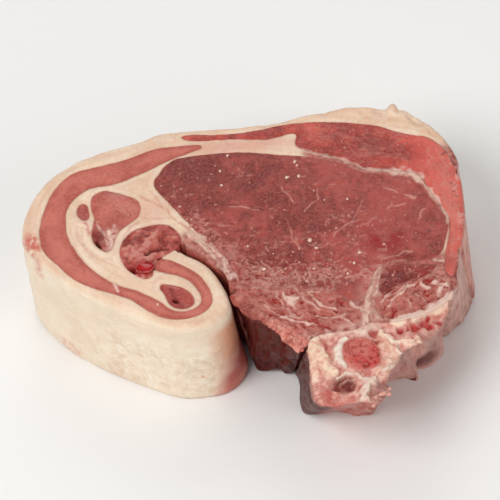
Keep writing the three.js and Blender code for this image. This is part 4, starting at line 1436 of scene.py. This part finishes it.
# Each light: its name, its place, its size and its power.
LIGHTS = [
    ("key", (-0.55, -0.45, 0.9), 0.7, 8.0),
    ("fill", (0.7, -0.7, 0.6), 0.9, 3.4),
    ("back", (0.1, 0.9, 0.8), 0.7, 2.6),
]
ROOM_LIGHT = 0.36

floor_mesh = bpy.data.meshes.new("floor")
half = FLOOR_SIZE / 2
corners = [(-half, -half, 0), (half, -half, 0), (half, half, 0), (-half, half, 0)]
floor_mesh.from_pydata(corners, [], [(0, 1, 2, 3)])
floor = bpy.data.objects.new("floor", floor_mesh)
bpy.context.scene.collection.objects.link(floor)
table = Finish("pale_table")
table.set(Base_Color=(240, 239, 237), Roughness=0.7)
floor_mesh.materials.append(table.material)

middle = (cad_low + cad_high) / 2
for name, place, size, power in LIGHTS:
    light = bpy.data.lights.new(name, "AREA")
    light.shape = "DISK"
    light.size = size
    light.energy = power
    lamp = bpy.data.objects.new(name, light)
    lamp.location = Vector(place)
    lamp.rotation_euler = (middle - lamp.location).to_track_quat("-Z", "Y").to_euler()
    bpy.context.scene.collection.objects.link(lamp)

world = bpy.data.worlds.new("studio")
world.use_nodes = True
room = world.node_tree.nodes["Background"]
room.inputs["Color"].default_value = (1, 1, 1, 1)
room.inputs["Strength"].default_value = ROOM_LIGHT
bpy.context.scene.world = world
bpy.context.scene.view_settings.view_transform = "Standard"

# ----------------------------------------------------------------------------------------------
# The camera looks down on the upper cut from the backbone's side, a little rolled. It stands well
# back with a long lens, so that the chop's near and far parts are seen at almost the same scale.

ELEVATION = 50
ROLL = 6.8
DISTANCE = 0.9
SEEN_WIDTH = 0.105
AIM = (0.0006, 0.0062)
AIM_DROP = 0.0021  # how far below the chop's middle the camera aims, up and down as it is seen
SENSOR = 36  # in millimetres, as a camera has it
CLIP_END = 20

camera = bpy.data.objects.new("camera", bpy.data.cameras.new("camera"))
bpy.context.scene.collection.objects.link(camera)
camera.data.sensor_width = SENSOR
camera.data.lens = SENSOR * DISTANCE / SEEN_WIDTH
camera.data.clip_end = CLIP_END
tilt = math.radians(ELEVATION)
back = Vector((0, -math.cos(tilt), math.sin(tilt)))
turn = Matrix.Rotation(math.radians(90 - ELEVATION), 4, "X") @ Matrix.Rotation(math.radians(-ROLL), 4, "Z")
up = turn.to_3x3() @ Vector((0, 1, 0))
aim = Vector((AIM[0], AIM[1], cad_high.z)) - up * AIM_DROP
camera.matrix_world = Matrix.Translation(aim + back * DISTANCE) @ turn
bpy.context.scene.camera = camera
